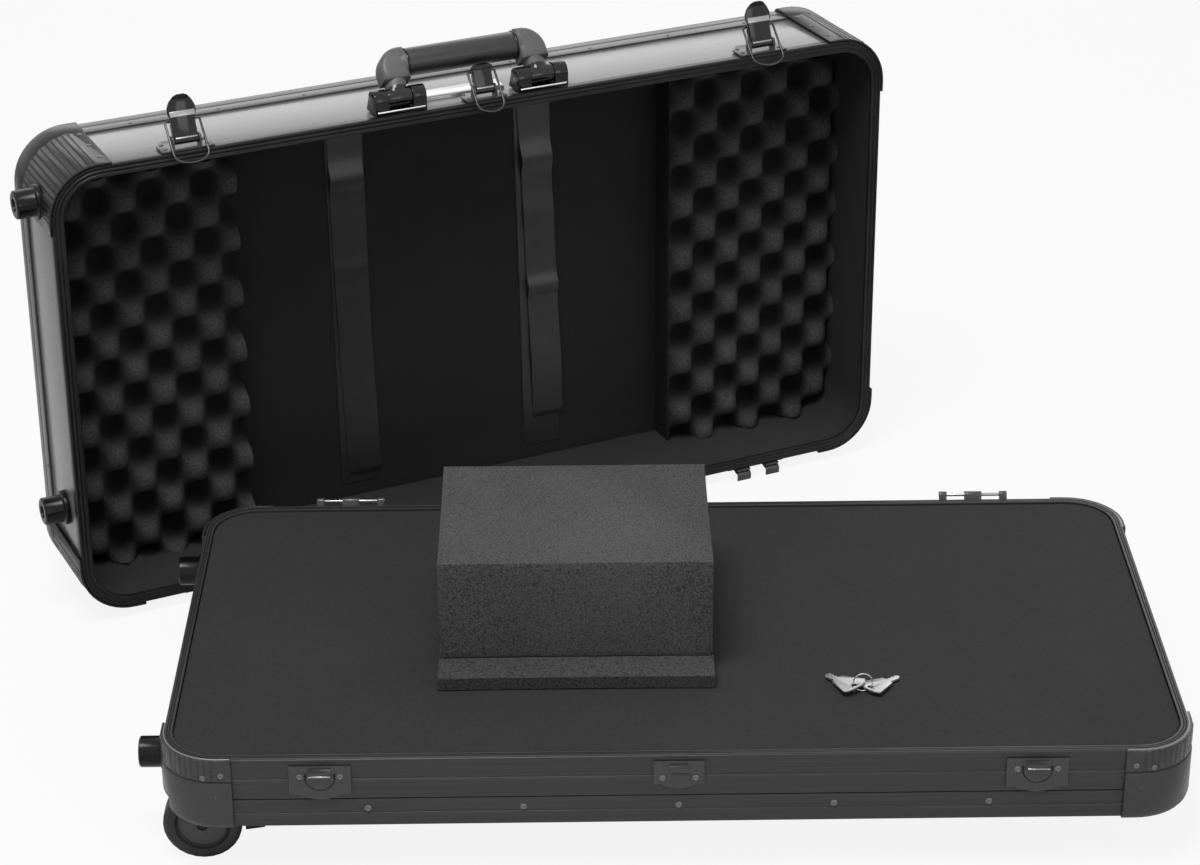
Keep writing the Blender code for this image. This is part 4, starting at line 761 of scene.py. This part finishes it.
# %% Foam block and slab
def sawn_foam(name, low, high, edge, pull):
    """A sawn piece of foam: cut faces, soft edges, sides drawn in by pull."""
    low, high = Vector(low), Vector(high)
    middle, half = (low + high) / 2, (high - low) / 2
    piece = begin(name, bpy.ops.mesh.primitive_cube_add, half, size=2)
    edit_all()
    bpy.ops.mesh.bevel(offset=edge, segments=3, affect="EDGES")
    bpy.ops.mesh.select_all(action="SELECT")
    bpy.ops.mesh.subdivide(number_cuts=14)
    bpy.ops.object.mode_set(mode="OBJECT")
    for corner in piece.data.vertices:
        u, v, w = (corner.co[i] / half[i] for i in range(3))
        ripple = 0.3 * noise.noise(corner.co * 30)
        corner.co.x -= pull * u * (1 - v * v) * (0.8 + ripple) * (1 - 0.4 * w)
        corner.co.y -= pull * v * (1 - u * u) * (0.8 + ripple) * (1 - 0.4 * w)
        corner.co.z -= max(w, 0) * pull * 0.4 * (1 - u * u) * (1 - v * v)
    piece.location = middle
    return piece


block = sawn_foam("foam_block_sawn", (-0.1875, -0.079, 0.0124), (0.0315, 0.093, 0.098), 0.0007, 0.0008)
settle(block, "block", block_foam, TRAY)
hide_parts("foam_block")
slab = sawn_foam("foam_slab_sawn", (-0.1885, -0.110, 0.0003), (0.0325, 0.095, 0.0120), 0.0007, 0.0011)
settle(slab, "slab", slab_foam, TRAY)
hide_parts("foam_slab")

# %% [markdown]
# Egg-crate foam is cut by a profiled saw, which leaves rows of round peaks and hollows set like
# the fields of a chessboard. Two cosines multiplied give just that height, so the pad is a fine
# grid with that height, closed behind and round its sides. The pads meet the lid's rounded
# corners, so each row ends where the outline lets it, and the cut edge shows the wave.

# %% Egg-crate pads
PAD_BACK, PAD_BASE, PAD_CREST = 0.1012, 0.016, 0.024
PAD_OUT, PAD_IN, PAD_LOW, PAD_TOP = 0.3932, 0.2152, 0.0068, 0.3828


def pad_reach(up):
    """How far out a row may go at this height, along the rounded inside of the lid."""
    for centre, beyond in ((CORNER, CORNER - up), (DEPTH - CORNER, up - DEPTH + CORNER)):
        if beyond > 0:
            return HALF - CORNER + math.sqrt(max((PAD_OUT - HALF + CORNER) ** 2 - beyond ** 2, 0))
    return PAD_OUT


def egg_crate(name, side, first_x, first_z, columns=84, rows=170):
    """One pad, for the right (side 1) or the left (side -1)."""
    points, faces = [], []
    for j in range(rows + 1):
        t = j / rows
        up = PAD_LOW + (PAD_TOP - PAD_LOW) * t
        for i in range(columns + 1):
            out = PAD_IN + (pad_reach(up) - PAD_IN) * i / columns
            x = side * out
            wave = math.cos(math.tau * (x - first_x) / 0.0495) * math.cos(math.tau * (up - first_z) / 0.0545)
            wave += 0.05 * noise.noise(Vector((x * 60, up * 60, 1.7)))
            rise = PAD_BASE + PAD_CREST * (0.5 + 0.5 * math.tanh(1.15 * wave) / math.tanh(1.15 * 1.05))
            points.append((x, PAD_BACK - rise, up))
    row = columns + 1
    for j in range(rows):
        for i in range(columns):
            a = j * row + i
            faces.append((a, a + 1, a + 1 + row, a + row))
    rim = list(range(row)) + [j * row + columns for j in range(1, rows + 1)]
    rim += [rows * row + i for i in range(columns - 1, -1, -1)] + [j * row for j in range(rows - 1, 0, -1)]
    start = len(points)
    for depth in (0.5, 1.0):
        points += [(x, y + (PAD_BACK - y) * depth, z) for x, y, z in (points[k] for k in rim)]
    size = len(rim)
    rings = [rim, list(range(start, start + size)), list(range(start + size, start + 2 * size))]
    for upper, lower in zip(rings, rings[1:]):
        faces += [(upper[k], lower[k], lower[(k + 1) % size], upper[(k + 1) % size]) for k in range(size)]
    faces.append(tuple(rings[2]))
    piece = drawn(name, points, faces)
    edit_all()
    bpy.ops.mesh.normals_make_consistent(inside=False)
    bpy.ops.object.mode_set(mode="OBJECT")
    return piece


for node, side, first_x, first_z in (
        ("egg_crate_right", 1, 0.253, 0.336), ("egg_crate_left", -1, -0.2426, 0.331)):
    pad = egg_crate(node + "_foam", side, first_x, first_z)
    settle(pad, "lid", crate_foam, LID, smooth=50)
    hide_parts(node)

# %% [markdown]
# Two webbing straps hang on the back of the lid. Each is one band, doubled: it runs up the back,
# turns over at the top, hangs down in front almost to the floor, and ends in a small hem. The
# band is drawn as a strip along that path and then given its thickness with Solidify.

# %% Straps
STRAP_LOW, STRAP_TOP, STRAP_HALF, STRAP_SPANS = 0.0205, 0.3705, 0.0182, 8


def strap(name, node, centre, front_end, bulges, narrow, lean):
    """A doubled band. Bulges are (height, how far out, over what height), lean drifts it sideways."""
    path = [(0.1009, STRAP_LOW + (STRAP_TOP - STRAP_LOW) * i / 40) for i in range(41)]
    path += [(0.1006 + 0.0003 * math.cos(a), STRAP_TOP + 0.0003 * math.sin(a))
             for a in (math.pi * k / 4 for k in range(1, 4))]
    for i in range(61):
        up = STRAP_TOP - (STRAP_TOP - front_end) * i / 60
        out = sum(by * math.exp(-((up - at) / over) ** 2) for at, by, over in bulges)
        path.append((0.0998 - out, up))
    path += [(0.1000 - out, front_end - 0.0003), (0.1003 - out, front_end)]
    path += [(0.1003 - out * (1 - i / 8), front_end + 0.012 * i / 4) for i in range(1, 5)]
    steps = [math.dist(*pair) for pair in zip(path, path[1:])]
    gone, row = sum(steps), STRAP_SPANS + 1
    points = []
    for k, (y, z) in enumerate(path):
        front = k > 40
        down = (STRAP_TOP - z) / 0.35
        half = STRAP_HALF - front * narrow
        shift = lean[0] * (1 - down)
        if front:
            shift = lean[0] + (lean[1] - lean[0]) * max(down, 0.0) ** lean[2]
        for i in range(row):
            s = i / STRAP_SPANS * 2 - 1
            crown = 0.00012 * front * (1 - s * s) * math.sin(k * 0.5)
            points.append((centre + shift + s * half, y - crown, z))
    corners = [k * row + i for k in range(len(steps)) for i in range(STRAP_SPANS)]
    piece = drawn(name, points, [(a, a + 1, a + row + 1, a + row) for a in corners])
    thick = piece.modifiers.new("webbing", "SOLIDIFY")
    thick.thickness, thick.offset = 0.0005, 0.0
    bpy.ops.object.modifier_apply(modifier=thick.name)
    settle(piece, "lid", webbing, LID, smooth=50)
    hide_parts(node)
    print(name, "is", round(gone, 3), "m of webbing")


right_bulges = [(0.318, 0.0055, 0.012), (0.262, 0.0014, 0.012), (0.187, 0.0045, 0.0075), (0.110, 0.0020, 0.030)]
left_bulges = [(0.330, 0.0045, 0.010), (0.240, 0.0009, 0.006), (0.205, 0.0007, 0.012)]
strap("strap_right_webbing", "strap_right", 0.092, 0.050, right_bulges, 0.0028, (-0.006, 0.0075, 0.8))
strap("strap_left_webbing", "strap_left", -0.097, 0.030, left_bulges, 0.0020, (-0.003, 0.0055, 1.6))

# %% [markdown]
# A domed rivet with a small dimple closes every joint of the case. It is modelled once, from a
# short twelve-sided cylinder: its top is inset and raised twice, and pressed in at the middle.
# Copies then go wherever a point and a direction say, and are joined into one piece per half.

# %% The rivet
rivet = begin("rivet_master", bpy.ops.mesh.primitive_cylinder_add,
              vertices=12, radius=0.0027, depth=0.0008, end_fill_type="NGON")
pick(rivet, "FACE", lambda face: face.normal.z > 0.9)
for ring, lift in ((0.0006, 0.0005), (0.0008, 0.0002), (0.0003, -0.0004)):
    bpy.ops.mesh.inset(thickness=ring)
    bpy.ops.transform.translate(value=(0, 0, lift))
bpy.ops.object.mode_set(mode="OBJECT")
print("one rivet has", len(rivet.data.polygons), "faces")


def set_rivets(name, places, body, place):
    """Copies of the rivet at (point, direction, size), joined into one piece."""
    copies = []
    for at, way, size in places:
        twin = copy_of(rivet, name)
        turn = Vector(way).to_track_quat("Z", "Y").to_matrix().to_4x4()
        twin.matrix_world = Matrix.Translation(at) @ turn @ Matrix.Scale(size, 4)
        copies.append(twin)
    clear_selection()
    for twin in copies:
        twin.select_set(True)
    bpy.context.view_layer.objects.active = copies[0]
    bpy.ops.object.join()
    piece = bpy.context.object
    piece.name = name
    settle(piece, body, rivet_steel, place)

# %% [markdown]
# On the tray the rivets sit every 120 mm along the lower profile, two on each catch plate, and
# three on each leg of a corner cap. A cap's leg starts on the rounded corner, so the direction of
# a rivet there turns with the corner.

# %% Rivets of the tray
def on_outline(x, z, side, out):
    """A point on the tray's long side at x, out from the wall, with its direction."""
    lean = max(abs(x) - (HALF - CORNER), 0) / (CORNER + out)
    angle = math.asin(min(lean, 1))
    reach = DEPTH / 2 - CORNER + (CORNER + out) * math.cos(angle)
    return (x, side * reach, z), (math.copysign(math.sin(angle), x), side * math.cos(angle), 0)


tray_places = []
for side in (-1, 1):
    tray_places += [(*on_outline(x, -0.0440, side, 0.0), 1.0) for x in (-0.24, -0.12, 0.0, 0.12, 0.24)]
    for x, z in ((-0.366, -0.0150), (-0.3520, -0.0125), (-0.3560, -0.0310)):
        tray_places += [(*on_outline(sign * x, z, side, 0.0021), 0.9) for sign in (-1, 1)]
for centre, share, z in ((-LATCH_X, 1, -0.0140), (0.0, SMALL, -0.0185), (LATCH_X, 1, -0.0140)):
    tray_places += [((centre + s * 0.0155 * share, -0.2119, z), (0, -1, 0), 0.95) for s in (-1, 1)]
for side in (-1, 1):
    tray_places += [((side * HALF, y, -0.0440), (side, 0, 0), 1.0) for y in (-0.13, 0.13)]
set_rivets("tray_rivets", tray_places, "tray", TRAY)

# %% [markdown]
# On the lid they hold the profiles all round, the tabs of the corner caps, and the wings of the
# three latch plates. Along the back edge of the lid they are smaller.

# %% Rivets of the lid
lid_places = []
for z, way in ((0.0, -1), (DEPTH, 1)):
    lid_places += [((x, 0.0870, z), (0, 0, way), 0.62)
                   for x in (-0.30, -0.22, -0.14, -0.06, 0.06, 0.14, 0.22, 0.30)]
for x, way in ((-HALF, -1), (HALF, 1)):
    lid_places += [((x, 0.0870, z), (way, 0, 0), 0.62) for z in (0.11, 0.21, 0.31)]
for centre, share in ((-LATCH_X, 1), (0.0, SMALL), (LATCH_X, 1)):
    for side in (-1, 1):
        x = centre + side * 0.0188 * share
        lid_places += [((x, y, 0.4219), (0, 0, 1), 0.80 * share) for y in (0.0085, 0.0195)]
for side in (-1, 1):
    for z, way in ((-0.0021, -1), (DEPTH + 0.0021, 1)):
        lid_places += [((side * 0.3500, y, z), (0, 0, way), 0.75) for y in (0.0160, 0.0460, 0.0740)]
set_rivets("lid_rivets", lid_places, "lid", LID)

# %% [markdown]
# Beads and bright arcs. A profile's edge is a rolled bead that catches the light as a thin line.
# A rectangle whose corners are bevelled to the case's radius loses its face, becomes a curve,
# and gets a round section. The same outline with its straight runs deleted gives the four bright
# arcs on the corner caps.

# %% Helper for beads
def outline_tube(name, inset, thick, arcs_only=None, leg=0.010):
    """A thin round bead along the case's outline, or along its corners only."""
    half_x, half_y, corner = HALF - inset, DEPTH / 2 - inset, CORNER - inset
    piece = begin(name, bpy.ops.mesh.primitive_plane_add, (half_x, half_y, 1), size=2)
    edit_all()
    bpy.ops.mesh.bevel(offset=corner, segments=12, affect="VERTICES")
    bpy.ops.mesh.select_all(action="SELECT")
    bpy.ops.mesh.delete(type="ONLY_FACE")
    if arcs_only is not None:
        spots, halves = piece.data.vertices, ((0, half_x), (1, half_y))
        pick(piece, "EDGE", lambda edge: any(
            all(abs(spots[v].co[axis]) < half - corner + arcs_only for v in edge.vertices)
            for axis, half in halves))
        bpy.ops.mesh.delete(type="EDGE")
        for axis, half in halves:
            for sign in (-1, 1):
                pick(piece, "VERT", lambda v: abs(v.co[axis] - sign * (half - corner)) < 1e-6)
                way = [-sign * leg if i == axis else 0 for i in range(3)]
                bpy.ops.mesh.extrude_region_move(TRANSFORM_OT_translate={"value": way})
    bpy.ops.object.mode_set(mode="OBJECT")
    only(piece)
    bpy.ops.object.convert(target="CURVE")
    piece = bpy.context.object
    piece.data.bevel_depth, piece.data.bevel_resolution = thick, 2
    piece.data.use_fill_caps = True
    bpy.ops.object.convert(target="MESH")
    return bpy.context.object


STAND_UP = Matrix.Rotation(math.pi / 2, 4, "X")
print("beads can be drawn")

# %% [markdown]
# The tray's rim carries two beads and the lid's three. Each stands a quarter of a millimetre or
# less out of the rim. The rolled corners of the tray are the same outline, thicker.

# %% Beads of both rims
for name, inset, thick, sink in (
        ("tray_bead_outer", 0.0011, 0.0007, 0.0005), ("tray_bead_inner", 0.0062, 0.0006, 0.00045)):
    bead = outline_tube(name, inset, thick)
    settle(bead, "tray", tray_profile, TRAY @ Matrix.Translation((0, 0, 0.001 - sink)))
for name, inset, thick, sink in (
        ("lid_bead_outer", 0.0012, 0.0008, 0.0006), ("lid_bead_middle", 0.0052, 0.0006, 0.0004),
        ("lid_bead_inner", 0.0096, 0.0008, 0.0006)):
    bead = outline_tube(name, inset, thick)
    settle(bead, "lid", lid_profile, LID @ Matrix.Translation((0, sink, DEPTH / 2)) @ STAND_UP)
arcs = outline_tube("tray_corner_rolls", 0.0006, 0.0026, arcs_only=0.001)
settle(arcs, "tray", cap_roll, TRAY @ Matrix.Translation((0, 0, -0.0013)))

# %% [markdown]
# Small hardware is built from soft boxes: a cube at its true size whose edges are bevelled, so
# that every edge can catch the light, and from short round bars with rounded ends.

# %% Helpers for hardware
def soft_box(name, low, high, edge, segments=2):
    """A box between two corners with rounded edges."""
    low, high = Vector(low), Vector(high)
    piece = begin(name, bpy.ops.mesh.primitive_cube_add, high - low, size=1, location=(low + high) / 2)
    edit_all()
    bpy.ops.mesh.bevel(offset=edge, segments=segments, affect="EDGES")
    bpy.ops.object.mode_set(mode="OBJECT")
    return piece


def on_one_end(piece, edge, half, near):
    """True for an edge whose corners both lie at the top, or both at the bottom, of a piece."""
    first, second = (piece.data.vertices[v].co.z for v in edge.vertices)
    return abs(abs(first) - half) < near and abs(first - second) < near


def roll(name, centre, radius, length, sides=20, edge=0.0004):
    """A short round bar along X with rounded ends."""
    piece = begin(name, bpy.ops.mesh.primitive_cylinder_add, vertices=sides, radius=radius, depth=length,
                  location=centre, rotation=(0, math.pi / 2, 0), end_fill_type="NGON")
    pick(piece, "EDGE", lambda edge: on_one_end(piece, edge, length / 2, 1e-6))
    bpy.ops.mesh.bevel(offset=edge, segments=2, affect="EDGES")
    bpy.ops.object.mode_set(mode="OBJECT")
    return piece


print("soft_box and roll are ready")

# %% [markdown]
# A draw latch is a raised lever with a black spoon to pull. On the two large latches a pale band
# crosses the spoon where it leaves the box, and every box ends in a rolled lower edge. Both ride on
# the lever.

# %% Latch bands and rolls
for name, centre, share in (
        ("latch_left", -LATCH_X, 1.0), ("latch_middle", 0.0, SMALL), ("latch_right", LATCH_X, 1.0)):
    lever = LID @ Matrix.Translation((centre, 0.009, 0.4278)) @ Matrix.Rotation(math.radians(66), 4, "X")
    if share == 1.0:
        band = soft_box(name + "_band", (-0.0112, 0.0193, 0.0030), (0.0112, 0.0242, 0.0047), 0.0004)
        settle(band, name + "_lever", dull_trim, lever)
    edge = roll(name + "_roll", (0, 0.0012, 0.0036), 0.0011, 0.0195 * share)
    settle(edge, name + "_lever", dull_trim, lever)

# %% [markdown]
# The handle's grip ends in two thin collars, and each bracket's foot has a bright lip along its
# front edge. The collars move with the handle and the lips stay on the lid.

# %% Handle collars and bracket lips
for side, label in ((-1, "left"), (1, "right")):
    collar = roll("handle_collar_" + label, (side * 0.0520, 0.031, 0), 0.0130, 0.0022, sides=36, edge=0.0005)
    settle(collar, "handle", gloss_black, HANDLE)
    near, far = (HANDLE_X + side * 0.068 + reach for reach in (-0.0225, 0.0225))
    lip = soft_box("bracket_lip_" + label, (near, 0.0042, 0.4222), (far, 0.0064, 0.4242), 0.0007, 3)
    settle(lip, "lid", bright_trim, LID)

# %% [markdown]
# Between grip and pivot the handle widens into a swept shoulder. It starts as a box; its outer
# upper edge gets a large bevel, which makes the sweep, and then all edges get a small one.

# %% Handle shoulders
for side, label in ((-1, "left"), (1, "right")):
    shoulder = begin("handle_shoulder_" + label, bpy.ops.mesh.primitive_cube_add, (0.0260, 0.0300, 0.0222),
                     size=1, location=(side * 0.0660, 0.0285, 0))
    spots = shoulder.data.vertices
    pick(shoulder, "EDGE", lambda e: all(spots[v].co.x * side > 0 and spots[v].co.y > 0 for v in e.vertices))
    bpy.ops.mesh.bevel(offset=0.0200, segments=9, affect="EDGES")
    pick(shoulder, "EDGE", lambda edge: on_one_end(shoulder, edge, 0.0111, 1e-5))
    bpy.ops.mesh.bevel(offset=0.0050, segments=4, affect="EDGES")
    bpy.ops.object.mode_set(mode="OBJECT")
    settle(shoulder, "handle", handle_finish, HANDLE, smooth=50)

# %% [markdown]
# Each large catch plate is pressed: a U groove runs round its raised middle, and the edge of the
# hook is rolled. The groove's shade is painted: a near-black half torus with straight legs pulled
# up from its ends.

# %% Catch plates
FACING_FRONT = (math.pi / 2, 0, 0)
for centre, label in ((-LATCH_X, "left"), (LATCH_X, "right")):
    press = begin("catch_press_" + label, bpy.ops.mesh.primitive_torus_add, major_radius=0.0112,
                  minor_radius=0.0007, major_segments=40, minor_segments=8, rotation=FACING_FRONT)
    bpy.ops.object.transform_apply(rotation=True)
    pick(press, "FACE", lambda face: face.center.z > 0.0002)
    bpy.ops.mesh.delete(type="FACE")
    for sign in (-1, 1):
        pick(press, "VERT", lambda v: v.co.z > -0.0004 and v.co.x * sign > 0)
        bpy.ops.mesh.extrude_region_move(TRANSFORM_OT_translate={"value": (0, 0, 0.0030)})
    bpy.ops.object.mode_set(mode="OBJECT")
    press.location = (centre, -0.2119, -0.0148)
    # painted shade: the black U stands for the shade in the pressed groove
    settle(press, "tray", groove_shade_black, TRAY)
    bar = roll("catch_roll_" + label, (centre, -0.2174, -0.0110), 0.0007, 0.0174, sides=12, edge=0.0002)
    settle(bar, "tray", worn_edge, TRAY)

# %% [markdown]
# The wheels carry a thin rolled ring where the tyre meets the core. A torus at the right size is
# enough of a start: it is flattened, so that it lies on the core like a pressed ring.

# %% Wheel rings
for label, side in (("front", -1), ("rear", 1)):
    ring = begin(label + "_wheel_ring", bpy.ops.mesh.primitive_torus_add, (1, 1, 0.6), major_radius=0.0206,
                 minor_radius=0.0009, major_segments=48, minor_segments=10,
                 location=(AXLE_X, side * 0.1880, AXLE_Z), rotation=FACING_FRONT)
    settle(ring, label + "_wheel", satin_black, TRAY)

# %% [markdown]
# The floor is a plain pale sheet. The camera sees most of it as plain white, through Is Camera
# Ray, and a share of its own shaded colour stays, so that the case keeps its shadow.

# %% Floor
floor = begin("studio_floor", bpy.ops.mesh.primitive_plane_add, size=14)
floor_paper, place = new_finish("floor_paper", Roughness=0.9, Specular_IOR_Level=0.0)
tree = floor_paper.node_tree
shader = tree.nodes["Principled BSDF"]
feed(tree, shader.inputs["Base Color"], blend(noise_at(place, 300.0, 2.0), grey(0.84), grey(0.88)))
glow = put(tree, "ShaderNodeEmission", {"Color": grey(1.0), "Strength": 1.0})
seen = Wire(tree, put(tree, "ShaderNodeLightPath").outputs["Is Camera Ray"]) * 0.88
feed(tree, tree.nodes["Material Output"].inputs["Surface"], mix_shaders(tree, seen, shader, glow))
floor.data.materials.append(floor_paper)
print("floor is", floor.dimensions.x, "m wide")

# %% [markdown]
# The room lights softly. The world is white where the camera, a mirror or glass sees it, and a
# soft grey for everything else. Three large soft boxes do the rest: one above and in front, one
# behind, whose mirror image brightens all that faces up, and a weak one at the camera's side.

# %% World and lamps
world = bpy.data.worlds.new("studio_room")
bpy.context.scene.world = world
world.use_nodes = True
tree = world.node_tree
tree.nodes.clear()
rays = put(tree, "ShaderNodeLightPath").outputs
clear_rays = strongest([Wire(tree, rays[f"Is {kind} Ray"]) for kind in ("Camera", "Glossy", "Transmission")])
shown = put(tree, "ShaderNodeBackground", {"Color": grey(1.0), "Strength": 1.0})
lit = put(tree, "ShaderNodeBackground", {"Color": grey(1.0), "Strength": 0.26})
feed(tree, put(tree, "ShaderNodeOutputWorld").inputs["Surface"], mix_shaders(tree, clear_rays, lit, shown))


def soft_lamp(name, place, target, width, height, power):
    """A large soft box at a place, turned to a target."""
    clear_selection()
    bpy.ops.object.light_add(type="AREA", location=place)
    lamp = bpy.context.object
    lamp.name = name
    lamp.data.shape = "RECTANGLE"
    lamp.data.size, lamp.data.size_y, lamp.data.energy = width, height, power
    lamp.rotation_euler = (Vector(target) - Vector(place)).to_track_quat("-Z", "Y").to_euler()
    print(name, "gives", power, "W over", round(width * height, 1), "m2")


soft_lamp("lamp_above", (-0.4, -0.95, 2.8), (0.0, 0.0, 0.1), 1.2, 1.2, 56)
soft_lamp("lamp_behind", (0.1, 2.6, 1.5), (0.0, 0.0, 0.2), 3.2, 1.3, 13)
soft_lamp("lamp_beside", (1.8, -2.4, 1.2), (0.0, 0.0, 0.15), 1.0, 1.0, 5)
bpy.context.scene.view_settings.view_transform = "Standard"

# %% [markdown]
# Last, the rivet that served as the master is removed and nothing is left selected.

# %% Finish
bpy.data.objects.remove(rivet)
clear_selection()
